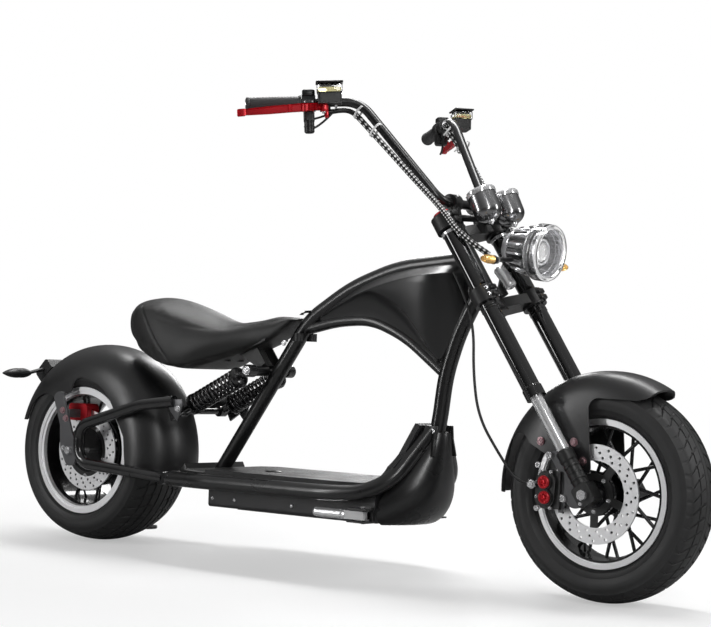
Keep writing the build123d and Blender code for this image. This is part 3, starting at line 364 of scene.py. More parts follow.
def applied(made: bpy.types.Object) -> bpy.types.Mesh:
    """New mesh of an object with its modifiers applied."""
    return bpy.data.meshes.new_from_object(made.evaluated_get(bpy.context.evaluated_depsgraph_get()))


def ball(radius: float, u: int = 20, v: int = 12) -> bmesh.types.BMesh:
    """Ball about the origin."""
    form = bmesh.new()
    bmesh.ops.create_uvsphere(form, u_segments=u, v_segments=v, radius=radius)
    return form


def socket_bolt(radius: float, height: float) -> bmesh.types.BMesh:
    """Round bolt head with a hexagonal socket, standing on the origin."""
    return turned([(0, 0), (radius, 0), (radius, 0.55 * height), (0.86 * radius, height), (0.52 * radius, height),
                   (0.46 * radius, 0.9 * height), (0.46 * radius, 0.35 * height), (0, 0.3 * height)], 18)


def hex_bolt(radius: float, height: float) -> bmesh.types.BMesh:
    """Hexagonal head on a washer, standing on the origin."""
    form = turned([(0, 0), (1.25 * radius, 0), (1.25 * radius, 0.16 * height), (0.9 * radius, 0.18 * height),
                   (0, 0.18 * height)], 18)
    head = bmesh.new()
    bmesh.ops.create_cone(head, cap_ends=True, segments=6, radius1=radius, radius2=radius, depth=0.8 * height)
    bmesh.ops.translate(head, vec=(0, 0, 0.58 * height), verts=head.verts)
    soften(head, 0.1 * radius, 1, 40)
    return merged(form, head)


def merged(form: bmesh.types.BMesh, other: bmesh.types.BMesh) -> bmesh.types.BMesh:
    """One form that holds two; the second is used up."""
    return form_of(mesh_of(other), form)


def pipe(points: Sequence[Point], radius: float) -> bmesh.types.BMesh:
    """Round tube along a smooth spline through a few control points."""
    return curve_form(smooth_curve("pipe", points, radius, 4, 8))


class Piece:
    """A visible piece: parts modelled in their own frames, gathered in one mesh."""

    def __init__(self, name: str, body: Body, slot: str, *materials: bpy.types.Material) -> None:
        """Start a piece.

        Args:
            name: Name of the piece.
            body: Body that it rides on.
            slot: Name of the material slot that its finish comes from.
            materials: Materials that its parts may take, by index.
        """
        self.name, self.body, self.slot, self.materials = name, body, slot, materials
        self.form = bmesh.new()

    def add(self, form: bmesh.types.BMesh, place: Matrix = UNMOVED, material: int = 0, mirror: bool = False,
            inward: bool = False) -> "Piece":
        """Place a part in the upright vehicle.

        Args:
            form: The part in its local frame, which is used up.
            place: Its local frame.
            material: Index of its material.
            mirror: Whether the same part is also added on the other side.
            inward: Whether its faces look inwards, as those of a hollow do.

        Returns:
            This piece.
        """
        bmesh.ops.recalc_face_normals(form, faces=form.faces)
        if inward:
            bmesh.ops.reverse_faces(form, faces=form.faces)
        for face in form.faces:
            face.material_index = material
        if mirror:
            self._put(form.copy(), ACROSS @ place)
        self._put(form, place)
        return self

    def _put(self, form: bmesh.types.BMesh, place: Matrix) -> None:
        """Copy a part into this piece's mesh."""
        bmesh.ops.transform(form, matrix=place, verts=form.verts)
        if place.determinant() < 0:
            bmesh.ops.reverse_faces(form, faces=form.faces)
        merged(self.form, form)

    def done(self, replaces: Iterable[str] = (), sharp: float = SMOOTH_EDGE) -> bpy.types.Object:
        """Park the piece, dress it and set it on its body.

        Args:
            replaces: CAD nodes that it stands for.
            sharp: Edges turned by more than this, in degrees, stay sharp.

        Returns:
            The finished object.
        """
        bmesh.ops.transform(self.form, matrix=PARKED, verts=self.form.verts)
        for face in self.form.faces:
            face.smooth = True
        for edge in self.form.edges:
            edge.smooth = len(edge.link_faces) == 2 and edge.calc_face_angle(0) < math.radians(sharp)
        made = linked(self.name, mesh_of(self.form, self.name))
        for material in self.materials:
            made.data.materials.append(material)
        return settle(made, self.body, replaces)


def settle(made: bpy.types.Object, body: Body, replaces: Iterable[str] = ()) -> bpy.types.Object:
    """Set a finished object on its body and hide the CAD nodes that it stands for."""
    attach(made, body.value)
    if replaces:
        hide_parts(*replaces)
    LOG.info("piece %s on %s", made.name, body.value)
    return made


# Finishes

class Relief(Enum):
    """Fine relief of a surface."""

    NONE = "none"
    PEEL = "peel"
    CAST = "cast"
    HIDE = "hide"


def new_group(name: str, inputs: Sequence[tuple[str, str, float]], outputs: Sequence[tuple[str, str]]
              ) -> bpy.types.NodeTree:
    """Shader node group with named sockets.

    Args:
        name: Name of the group.
        inputs: Name, kind and default of each input; the default of a vector isn't set.
        outputs: Name and kind of each output.

    Returns:
        The group, with its input and output nodes.
    """
    group = bpy.data.node_groups.new(name, "ShaderNodeTree")
    for label, kind, default in inputs:
        socket = group.interface.new_socket(name=label, in_out="INPUT", socket_type="NodeSocket" + kind)
        if kind == "Float":
            socket.default_value = default
    for label, kind in outputs:
        group.interface.new_socket(name=label, in_out="OUTPUT", socket_type="NodeSocket" + kind)
    group.nodes.new("NodeGroupInput").name = "in"
    group.nodes.new("NodeGroupOutput").name = "out"
    return group


class Wiring:
    """Adds and links nodes in a tree."""

    def __init__(self, tree: bpy.types.NodeTree) -> None:
        """Work on a node tree."""
        self.tree = tree

    def node(self, kind: str, links: Optional[dict] = None, **settings: object) -> bpy.types.Node:
        """Add a node.

        Args:
            kind: Type of the node, without its ShaderNode prefix.
            links: Input name or index to the value or output socket that feeds it.
            settings: Properties of the node.

        Returns:
            The node.
        """
        made = self.tree.nodes.new("ShaderNode" + kind)
        for key, value in settings.items():
            setattr(made, key, value)
        for key, value in (links or {}).items():
            if isinstance(value, bpy.types.NodeSocket):
                self.tree.links.new(value, made.inputs[key])
            else:
                made.inputs[key].default_value = value
        return made

    def math(self, operation: str, a: object, b: object = 0.0) -> bpy.types.NodeSocket:
        """Result of a calculation on one or two values."""
        return self.node("Math", {0: a, 1: b}, operation=operation).outputs[0]

    def band(self, value: bpy.types.NodeSocket, low: float, high: float, soft: float) -> bpy.types.NodeSocket:
        """Mask that is 1 where a value lies between two limits."""
        rise = self.node("MapRange", {0: value, 1: low - soft, 2: low + soft}).outputs[0]
        fall = self.node("MapRange", {0: value, 1: high - soft, 2: high + soft, 3: 1.0, 4: 0.0}).outputs[0]
        return self.math("MULTIPLY", rise, fall)

    def blend(self, mask: bpy.types.NodeSocket, a: Colour, b: Colour) -> bpy.types.NodeSocket:
        """Colour between two by a mask."""
        mix = self.node("Mix", data_type="RGBA")
        self.tree.links.new(mask, mix.inputs[0])
        mix.inputs[6].default_value = (*a, 1)
        mix.inputs[7].default_value = (*b, 1)
        return mix.outputs[2]


def grain_group() -> bpy.types.NodeTree:
    """Group for paint, castings and mouldings: fine relief, and slow changes over the surface."""
    group = new_group("surface_grain", [("Vector", "Vector", 0), ("Scale", "Float", 900), ("Pits", "Float", 0)],
                      [("Height", "Float"), ("Cloud", "Float")])
    wire = Wiring(group)
    given, out = group.nodes["in"], group.nodes["out"]
    fine = wire.node("TexNoise", {"Vector": given.outputs["Vector"], "Scale": given.outputs["Scale"],
                                  "Detail": 2.0}).outputs[0]
    pits = wire.node("TexVoronoi", {"Vector": given.outputs["Vector"], "Scale": given.outputs["Scale"]}).outputs[0]
    height = wire.math("ADD", fine, wire.math("MULTIPLY", pits, given.outputs["Pits"]))
    cloud = wire.node("TexNoise", {"Vector": given.outputs["Vector"], "Scale": 9.0, "Detail": 4.0}).outputs[0]
    group.links.new(height, out.inputs["Height"])
    group.links.new(cloud, out.inputs["Cloud"])
    return group


def hide_group() -> bpy.types.NodeTree:
    """Group for leather: pebbles parted by creases."""
    group = new_group("hide_grain", [("Vector", "Vector", 0), ("Scale", "Float", 420)],
                      [("Height", "Float"), ("Crease", "Float")])
    wire = Wiring(group)
    given, out = group.nodes["in"], group.nodes["out"]
    warp = wire.node("TexNoise", {"Vector": given.outputs["Vector"], "Scale": 160.0, "Detail": 3.0})
    push = wire.node("VectorMath", {0: warp.outputs["Color"], 1: (0.004, 0.004, 0.004)}, operation="MULTIPLY")
    moved = wire.node("VectorMath", {0: given.outputs["Vector"], 1: push.outputs[0]}, operation="ADD").outputs[0]
    cells = wire.node("TexVoronoi", {"Vector": moved, "Scale": given.outputs["Scale"]},
                      feature="DISTANCE_TO_EDGE").outputs[0]
    pebble = wire.node("MapRange", {0: cells, 1: 0.0, 2: 0.22}).outputs[0]
    fine = wire.node("TexNoise", {"Vector": given.outputs["Vector"], "Scale": 2400.0}).outputs[0]
    group.links.new(wire.math("ADD", pebble, wire.math("MULTIPLY", fine, 0.3)), out.inputs["Height"])
    group.links.new(pebble, out.inputs["Crease"])
    return group


def wheel_group() -> bpy.types.NodeTree:
    """Group for turned pieces: distance from an axle along Y, in millimetres, and the streaks of turning."""
    group = new_group("axle_distance", [("Vector", "Vector", 0)], [("Radius", "Float"), ("Streak", "Float")])
    wire = Wiring(group)
    given, out = group.nodes["in"], group.nodes["out"]
    flat = wire.node("VectorMath", {0: given.outputs["Vector"], 1: (1000, 0, 1000)}, operation="MULTIPLY")
    length = wire.node("VectorMath", {0: flat.outputs[0]}, operation="LENGTH").outputs["Value"]
    rings = wire.node("CombineXYZ", {0: length}).outputs[0]
    streak = wire.node("TexNoise", {"Vector": rings, "Scale": 1.6, "Detail": 6.0}).outputs[0]
    group.links.new(length, out.inputs["Radius"])
    group.links.new(streak, out.inputs["Streak"])
    return group


GRAIN = grain_group()
HIDE = hide_group()
AXLE = wheel_group()


@dataclass(frozen=True)
class Finish:
    """A finish of one colour with fine relief and slow changes of gloss."""

    name: str
    colour: Colour
    roughness: float
    metallic: float = 0.0
    coat: float = 0.0
    coat_roughness: float = 0.05
    sheen: float = 0.0
    transmission: float = 0.0
    ior: float = 1.5
    relief: Relief = Relief.PEEL
    scale: float = 700.0
    depth: float = 0.05
    pits: float = 0.8
    cloud: float = 0.25
    tint: float = 0.12

    def shell(self) -> tuple[bpy.types.Material, Wiring, bpy.types.Node]:
        """Material with its plain values set.

        Returns:
            The material, its wiring and its shader node.
        """
        material = bpy.data.materials.new(self.name)
        material.use_nodes = True
        shader = material.node_tree.nodes["Principled BSDF"]
        values = {"Base Color": (*self.colour, 1), "Roughness": self.roughness, "Metallic": self.metallic,
                  "Coat Weight": self.coat, "Coat Roughness": self.coat_roughness, "Sheen Weight": self.sheen,
                  "Transmission Weight": self.transmission, "IOR": self.ior}
        for socket, value in values.items():
            shader.inputs[socket].default_value = value
        return material, Wiring(material.node_tree), shader

    def material(self) -> bpy.types.Material:
        """Build the material."""
        material, wire, shader = self.shell()
        link = material.node_tree.links.new
        spot = wire.node("TexCoord").outputs["Object"]
        grain = wire.node("Group", node_tree=HIDE if self.relief is Relief.HIDE else GRAIN)
        grain.inputs["Scale"].default_value = self.scale
        link(spot, grain.inputs["Vector"])
        if self.relief is Relief.CAST:
            grain.inputs["Pits"].default_value = self.pits
        slow = grain.outputs[1]
        low, high = self.roughness * (1 - self.cloud), min(1.0, self.roughness * (1 + self.cloud))
        if self.transmission:
            low = high = self.roughness
        if high > low:
            link(wire.node("MapRange", {0: slow, 1: 0.25, 2: 0.75, 3: low, 4: high}).outputs[0],
                 shader.inputs["Roughness"])
        dark = tuple(c * (1 - self.tint) for c in self.colour)
        light = tuple(min(1.0, c * (1 + self.tint)) for c in self.colour)
        link(wire.blend(slow, dark, light), shader.inputs["Base Color"])
        if self.relief is not Relief.NONE:
            bump = wire.node("Bump", {"Strength": self.depth, "Distance": 0.001, "Height": grain.outputs["Height"]})
            link(bump.outputs[0], shader.inputs["Normal"])
        return material


@dataclass(frozen=True)
class WheelFinish(Finish):
    """A finish that changes with the distance from an axle."""

    centre: Point = (0.0, 0.0, 0.0)
    bright: Colour = (0.75, 0.75, 0.76)
    bright_from: float = 0.0
    bright_to: float = 0.0
    bright_roughness: float = 0.12
    streaks: float = 0.3

    def material(self) -> bpy.types.Material:
        """Build the material: bare metal between two radii, paint elsewhere."""
        material, wire, shader = self.shell()
        link = material.node_tree.links.new
        spot = wire.node("TexCoord").outputs["Object"]
        centred = wire.node("Mapping", {"Vector": spot, "Location": self.centre, "Rotation": (-LEAN, 0, 0)},
                            vector_type="TEXTURE").outputs[0]
        axle = wire.node("Group", node_tree=AXLE)
        link(centred, axle.inputs["Vector"])
        mask = wire.band(axle.outputs["Radius"], self.bright_from, self.bright_to, 0.25)
        link(wire.blend(mask, self.colour, self.bright), shader.inputs["Base Color"])
        link(mask, shader.inputs["Metallic"])
        rough = wire.node("MapRange", {0: axle.outputs["Streak"], 1: 0.3, 2: 0.7, 3: self.bright_roughness * 0.6,
                                       4: self.bright_roughness * 1.5}).outputs[0]
        mixed = wire.node("Mix", {0: mask, 2: self.roughness, 3: rough})
        link(mixed.outputs[0], shader.inputs["Roughness"])
        bump = wire.node("Bump", {"Strength": self.streaks, "Distance": 0.0004, "Height": axle.outputs["Streak"]})
        link(bump.outputs[0], shader.inputs["Normal"])
        return material


class Stock:
    """Every finish of the vehicle, built once."""

    def __init__(self) -> None:
        """Build the materials."""
        rear, front = (tuple(PARKED @ Vector(axle)) for axle in ((0, 0, REAR_R), (WHEELBASE, 0, FRONT_R)))
        make: dict[str, Finish] = {
            "frame_black": Finish("satin_frame", (0.006, 0.006, 0.0064), 0.3, coat=0.5, coat_roughness=0.22,
                                  scale=500, depth=0.04),
            "arm_black": Finish("gloss_arm", (0.005, 0.005, 0.0054), 0.22, coat=0.8, coat_roughness=0.12,
                                scale=420, depth=0.05),
            "body_black": Finish("satin_body", (0.0085, 0.0085, 0.009), 0.38, coat=0.35, coat_roughness=0.34,
                                 scale=600, depth=0.03, tint=0.08),
            "tank_black": Finish("smooth_body", (0.0075, 0.0075, 0.008), 0.32, coat=0.5, coat_roughness=0.26,
                                 scale=500, depth=0.02, tint=0.08),
            "cast_black": Finish("cast_black", (0.009, 0.009, 0.009), 0.36, relief=Relief.CAST, scale=900, depth=0.2),
            "gloss_black": Finish("gloss_tube", (0.002, 0.002, 0.0022), 0.12, coat=1.0, coat_roughness=0.05,
                                  scale=300, depth=0.01, tint=0.05),
            "plate_grey": Finish("satin_plate", (0.1, 0.1, 0.104), 0.4, 0.6, scale=900, depth=0.08),
            "deck_metal": Finish("box_paint", (0.017, 0.017, 0.018), 0.36, scale=520, depth=0.06),
            "mat_rubber": Finish("mat_rubber", (0.013, 0.013, 0.0135), 0.45, relief=Relief.CAST, scale=1100,
                                 depth=0.3),
            "seat_leather": Finish("seat_leather", (0.0095, 0.0094, 0.0093), 0.4, sheen=0.03, relief=Relief.HIDE,
                                   scale=420, depth=0.22, cloud=0.12, tint=0.25),
            # Chrome is only partly metallic, so a diffuse white share paints in the bright reflections of the room:
            # painted reflection.
            "chrome": Finish("chrome", (0.88, 0.88, 0.89), 0.13, 0.72, scale=60, depth=0.01, tint=0.02),
            "smoked_chrome": Finish("smoked_chrome", (0.34, 0.34, 0.345), 0.24, 1.0, scale=60, depth=0.01, tint=0.04),
            "spring_black": Finish("spring_black", (0.008, 0.008, 0.0085), 0.2, coat=0.8, scale=500, depth=0.02),
            "caliper_red": Finish("red_anodised", (0.42, 0.008, 0.016), 0.32, 0.35, scale=900, depth=0.06),
            "lever_red": Finish("lever_red", (0.5, 0.006, 0.014), 0.28, 0.4, scale=900, depth=0.04),
            "grip_rubber": Finish("grip_rubber", (0.03, 0.03, 0.031), 0.55, scale=1300, depth=0.2),
            "black_plastic": Finish("black_plastic", (0.009, 0.009, 0.0095), 0.38, relief=Relief.CAST, scale=1500,
                                    depth=0.12),
            "guard_plastic": Finish("guard_plastic", (0.007, 0.007, 0.0074), 0.3, coat=0.3, coat_roughness=0.3,
                                    scale=500, depth=0.03),
            "clear_plastic": Finish("clear_plastic", (0.9, 0.9, 0.9), 0.03, transmission=1.0, ior=1.42,
                                    relief=Relief.NONE, tint=0.01),
            "fluid": Finish("fluid", (0.88, 0.8, 0.4), 0.05, transmission=0.7, ior=1.4, relief=Relief.NONE,
                            tint=0.03),
            "amber": Finish("amber", (1.0, 0.6, 0.2), 0.06, transmission=0.85, relief=Relief.NONE, tint=0.06),
            "smoke_lens": Finish("smoke_lens", (0.02, 0.018, 0.018), 0.12, coat=0.8, relief=Relief.NONE),
            "reflector": Finish("reflector", (0.9, 0.9, 0.92), 0.14, 0.7, scale=90, depth=0.04, tint=0.05),
            "hose_rubber": Finish("hose_rubber", (0.012, 0.012, 0.012), 0.45, scale=1500, depth=0.1),
            "bolt_steel": Finish("bolt_steel", (0.7, 0.7, 0.71), 0.24, 0.75, scale=900, depth=0.1),
            "bolt_rose": Finish("bolt_rose", (0.45, 0.3, 0.32), 0.28, 0.9, scale=900, depth=0.1),
            "bolt_black": Finish("bolt_black", (0.02, 0.02, 0.02), 0.35, scale=900, depth=0.1),
            "white_tie": Finish("white_tie", (0.7, 0.7, 0.7), 0.4, scale=900, depth=0.1),
            "dial_white": Finish("dial_white", (0.75, 0.75, 0.75), 0.5, relief=Relief.NONE),
            "dial_black": Finish("dial_black", (0.01, 0.01, 0.01), 0.4, relief=Relief.NONE),
            "tyre_rubber": Finish("tyre_rubber", (0.017, 0.017, 0.0174), 0.5, relief=Relief.CAST, scale=800,
                                  depth=0.2, cloud=0.2, tint=0.3),
            "rear_rim": WheelFinish("rear_rim", (0.009, 0.009, 0.0095), 0.18, coat=0.5, centre=rear,
                                    bright=(0.95, 0.95, 0.96), bright_from=149, bright_to=171, bright_roughness=0.5),
            "front_rim": WheelFinish("front_rim", (0.008, 0.008, 0.0085), 0.2, coat=0.5, centre=front,
                                     bright=(0.93, 0.93, 0.94), bright_from=152, bright_to=167, bright_roughness=0.4),
            "rear_disc": WheelFinish("rear_disc", (0.015, 0.015, 0.015), 0.4, centre=rear, bright=(0.9, 0.9, 0.91),
                                     bright_from=71.5, bright_to=112, bright_roughness=0.45),
            "front_disc": WheelFinish("front_disc", (0.012, 0.012, 0.012), 0.4, centre=front,
                                      bright=(0.94, 0.94, 0.95), bright_from=73.5, bright_to=114,
                                      bright_roughness=0.45),
        }
        self.materials = {name: finish.material() for name, finish in make.items()}

    def __getitem__(self, name: str) -> bpy.types.Material:
        """Material of a finish."""
        return self.materials[name]


@dataclass
class Tyre:
    """Road tyre whose tread cuts run along the mesh's own columns."""

    name: str
    body: Body
    x: float
    radius: float
    half: float
    rim_r: float
    rim_half: float
    pitches: int
    lines: Sequence[tuple[float, float, float]]
    cut_from: float
    cut_to: float
    cut_depth: float = 3.2
    lean_of_cuts: float = 0.9
    columns: Sequence[float] = (0.0, 0.04, 0.19, 0.23, 0.44, 0.62, 0.81)

    def crown(self) -> list[tuple[float, float, float]]:
        """Rows over the tread.

        Returns:
            Half-width place, radius, and depth of the lengthwise grooves of each row, from right to left.
        """
        reach, top = 0.80 * self.half, 0.16 * self.half
        bend = (reach * reach + top * top) / (2 * top)
        marks = {0.0: 0.0, reach: 0.0}
        for low, high, depth in self.lines:
            marks.update({low: 0.0, low + 0.5: depth, high - 0.5: depth, high: 0.0})
        step = (reach - self.cut_from) / 9
        for index in range(10):
            place = self.cut_from + index * step
            if all(abs(place - mark) > 1.2 for mark in marks) and not any(
                    low < place < high for low, high, _ in self.lines):
                marks[place] = 0.0
        half = [(y, self.radius - bend + math.sqrt(bend * bend - y * y), marks[y]) for y in sorted(marks)]
        return [(-y, r, d) for y, r, d in reversed(half[1:])] + half

    def cut(self, y: float) -> float:
        """Share of the full depth that a cross cut has at a half-width place."""
        y = abs(y)
        rise = min(1.0, max(0.0, (y - self.cut_from) / 1.0))
        return rise * min(1.0, max(0.0, (self.cut_to - y) / 6.0))

    def build(self, stock: Stock) -> None:
        """Model the tyre and put it in place of its node."""
        seat, over, bead = self.rim_r - 4, self.rim_r + 1, self.rim_half - 4
        shoulder = (self.radius - 0.16 * self.half, 0.80 * self.half)
        widest = (self.rim_r + 0.42 * (self.radius - self.rim_r), self.half)
        side = arc(shoulder, widest, (over, bead), 16)[1:]
        ridges = {2: 0.8, 3: -0.9, 9: 0.9, 10: -0.9, 12: 1.2, 13: -1.0}
        side = [(r, y + ridges.get(i, 0.0)) for i, (r, y) in enumerate(side)]
        rows = [(r - d, y) for y, r, d in self.crown()]
        depths = [self.cut(y) for _, y in rows]
        inner = [(seat, bead), (seat, bead - 12), (self.radius - 30, 0.5 * self.half),
                 (self.radius - 24, 0), (self.radius - 30, -0.5 * self.half), (seat, 12 - bead), (seat, -bead)]
        mirrored = [(r, -y) for r, y in reversed(side)]
        profile = rows + side + inner + mirrored
        cuts = depths + [0.55, 0.2] + [0.0] * (len(profile) - len(depths) - 4) + [0.2, 0.55]
        count = len(self.columns)
        steps = self.pitches * count
        form = closed_turn(profile, steps)
        pitch = TURN / self.pitches
        layer = form.verts.layers.int["row"]
        for vert in form.verts:
            r, y = math.hypot(vert.co.x, vert.co.y), vert.co.z
            row = vert[layer]
            turn = round(math.atan2(vert.co.y, vert.co.x) / TURN * steps) % steps
            whole, column = divmod(turn, count)
            angle = (whole + self.columns[column]) * pitch + self.sweep(y) * pitch
            if column in (1, 2):
                r -= self.cut_depth * cuts[row]
            vert.co = (r * math.cos(angle), r * math.sin(angle), y)
        piece = Piece(self.name + "_tread", self.body, "tyre_rubber", stock["tyre_rubber"])
        piece.add(form, wheel_frame(self.x, self.radius)).done([self.name], 28)

    def sweep(self, y: float) -> float:
        """Turn of a row, in pitches: the cuts sweep back, staggered from side to side."""
        share = min(1.0, max(0.0, (abs(y) - self.cut_from) / (0.8 * self.half - self.cut_from)))
        stagger = min(1.0, max(0.0, (y + self.cut_from) / (2 * self.cut_from)))
        return self.lean_of_cuts * share ** 1.5 + 0.5 * stagger


FRONT_TYRE = Tyre("front_tyre", Body.FRONT_WHEEL, WHEELBASE, FRONT_R, half=60, rim_r=166, rim_half=45, pitches=50,
                  lines=((6.0, 8.4, 1.4), (26, 30, 2.4)), cut_from=10, cut_to=52)
REAR_TYRE = Tyre("rear_tyre", Body.REAR_WHEEL, 0.0, REAR_R, half=104, rim_r=170, rim_half=92, pitches=44,
                 lines=((10, 15, 3.0), (32, 40, 3.4), (56, 62, 3.0)), cut_from=20, cut_to=92, cut_depth=3.0,
                 lean_of_cuts=0.7)


@dataclass
class Tank:
    """Sheet body between the top tube and the arc tube, with a crease along each side."""

    parts: int = 7
    # Columns: station, heights of the top edge, crease, knee and lower edge, half widths of the same
    rows: Sequence[Sequence[float]] = (
        (748, 634, 622, 618, 602, 7, 11, 10, 7), (840, 684, 664, 658, 613, 9, 26, 25, 8),
        (930, 722, 692, 684, 612, 11, 44, 43, 8), (1020, 742, 712, 650, 574, 12, 58, 50, 8),
        (1085, 750, 722, 578, 532, 13, 64, 42, 8), (1122, 754, 726, 526, 508, 14, 62, 22, 9),
        (1148, 756, 728, 560, 546, 14, 50, 18, 10), (1170, 757, 729, 610, 596, 14, 34, 16, 12),
        (1186, 757, 730, 640, 628, 12, 14, 13, 12))

    def section(self, row: Sequence[float]) -> list[Point]:
        """Closed section at a station, hollow below the crease and full above it."""
        x, top, crease, knee, low, wt, wc, wk, wl = row
        under = (0.6 * wl + 0.3 * wk, 0.5 * (low + knee))
        side = (0.5 * (wk + wc) + 1.5, 0.5 * (knee + crease))
        upper = (0.5 * wc + 0.42 * wt, 0.5 * (crease + top))
        half = outline([(wl, low), (under, (wk, knee)), (side, (wc, crease)), (upper, (wt, top))], 1.0, 9)
        return ([(x, y, z) for y, z in half] + [(x, 0, top + 4)] + [(x, -y, z) for y, z in reversed(half)])

    def build(self, stock: Stock) -> None:
        """Model the body and put it in place of its node."""
        form = loft([self.section(row) for row in smooth_rows(self.rows, self.parts)])
        creases = [e for e in form.edges if len(e.link_faces) == 2 and e.calc_face_angle(0) > math.radians(28)
                   and abs(e.verts[0].co.x - e.verts[1].co.x) > 3 and abs(e.verts[0].co.y) > 9]
        bmesh.ops.bevel(form, geom=creases, offset=2.2, offset_type="OFFSET", affect="EDGES", segments=3,
                        profile=0.5, material=-1)
        Piece("tank_cover", Body.CHASSIS, "body_black", stock["tank_black"]).add(form).done(["tank_body"], 50)


@dataclass
class Fender:
    """Sheet fender: a channel turned about its middle, cut to its side view and to its plan."""

    name: str
    node: str
    body: Body
    axle: tuple[float, float]
    middle: tuple[float, float]
    radius: float
    half: float
    fullness: float
    root: float
    # Side view round the axle, in hundredths of the radius
    side: Sequence
    # Plan of what is cut off ahead of the axle
    nose: Sequence = ()
    wall: float = 3.0
    hem: float = 50.0
    parts: int = 22

    def section(self, inset: float) -> list[tuple[float, float]]:
        """Section of the channel, inset from its outside: flat sides that swell into the crown."""
        r, h, p = self.radius - inset, self.half - inset, 2 / self.fullness
        right = [(self.root + (r - self.root) * math.sin(a) ** p, -h * math.cos(a) ** p)
                 for a in (math.pi / 2 * i / self.parts for i in range(self.parts))]
        return [(self.hem, -h)] + right + [(r, 0)] + [(x, -y) for x, y in reversed(right)] + [(self.hem, h)]

    def build(self, stock: Stock) -> None:
        """Model the fender and put it in place of its node."""
        (x, z), (cx, cz) = self.axle, self.middle
        shell = closed_turn(self.section(0) + self.section(self.wall)[::-1], 120)
        bmesh.ops.transform(shell, matrix=wheel_frame(cx, cz), verts=shell.verts)
        kept = plate(outline(self.side, self.radius / 100), 2 * self.half + 8)
        bmesh.ops.transform(kept, matrix=rightwards(x, self.half + 4, z), verts=kept.verts)
        shell = trimmed(shell, kept, "INTERSECT")
        if self.nose:
            cutter = plate(outline(self.nose), 200)
            bmesh.ops.transform(cutter, matrix=at(x, 0, z + 120), verts=cutter.verts)
            shell = trimmed(shell, cutter, "DIFFERENCE")
        bmesh.ops.remove_doubles(shell, verts=shell.verts, dist=0.01)
        Piece(self.name, self.body, "body_black", stock["body_black"]).add(shell).done([self.node], 30)


FRONT_FENDER = Fender(
    "front_fender_shell", "front_fender", Body.FRONT_END, (WHEELBASE, FRONT_R), (WHEELBASE, FRONT_R),
    272, 76, 3.0, 122,
    ((2.2, 77.6), ((-5.1, 75), (-7, 67.6)), (-3.3, 23.2), ((-5.1, 16.2), (-14, 14.3)), (-63.2, 38.2),
     ((-78.3, 44.9), (-86.8, 29.4)), (-89.7, 11), (-89, -4.8), (-115, -4.8), (-115, 115), (55.1, 115), (55.1, 91),
     ((45, 80), (30, 77))),
    ((74, -82), ((116, -62), (137, 0)), ((116, 62), (74, 82)), (190, 82), (190, -82)))

REAR_FENDER = Fender(
    "rear_fender_shell", "rear_fender", Body.CHASSIS, (0, REAR_R), (8, REAR_R - 4), 291, 112, 2.2, 185,
    ((-90, 24.4), (-70, 24.7), ((-62, 41.6), (-42, 50.5)), (-31.6, 47.8), (-9.3, 54), ((-5.5, 63.6), (6.9, 66.7)),
     ((32, 57.4), (48.1, 36.1)), (60.5, 15.5), (63.9, -13.7), (113.4, -13.7), (115, 0), (115, 115), (-115, 115),
     (-115, 24.4)))


@dataclass
class Signals:
    """Front turn signals: slim amber lenses on dark stalks."""

    start: Point = (1340.0, -50.0, 760.0)
    end: Point = (1345.0, -128.0, 755.0)
    aim: Point = (1346.5, -188.0, 756.0)

    def build(self, stock: Stock) -> None:
        """Model both signals and put them in place of their node."""
        start, end = Vector(self.start), Vector(self.end)
        place = along(end, self.aim)
        stalks = Piece("signal_stalks", Body.FRONT_END, "black_plastic", stock["black_plastic"], stock["bolt_steel"])
        stalks.add(bar((end - start).length, 5.5), along(start, end), mirror=True)
        stalks.add(turned([(0, -8), (7, -8), (9, -4), (10.4, 0), (10.4, 5), (8.6, 6), (0, 6)], 28), place, mirror=True)
        stalks.add(turned([(0, -14), (7.4, -14), (8.4, -12), (8.4, -8), (0, -8)], 24), place, 1, mirror=True)
        stalks.done(["front_signals"])
        lens = Piece("signal_lenses", Body.FRONT_END, "amber", stock["amber"], stock["reflector"])
        profile = [(0, 5), (9.2, 5), (10.2, 12), (10.4, 22), (9.4, 34), (7.4, 44), (4.6, 50.5), (2, 53), (0, 53.5)]
        lens.add(turned(profile, 32), place, mirror=True)
        core = turned([(0, 6), (6.5, 6), (5.2, 20), (3.2, 34), (0, 40)], 20)
        lens.add(core, place, 1, mirror=True)
        lens.done([])


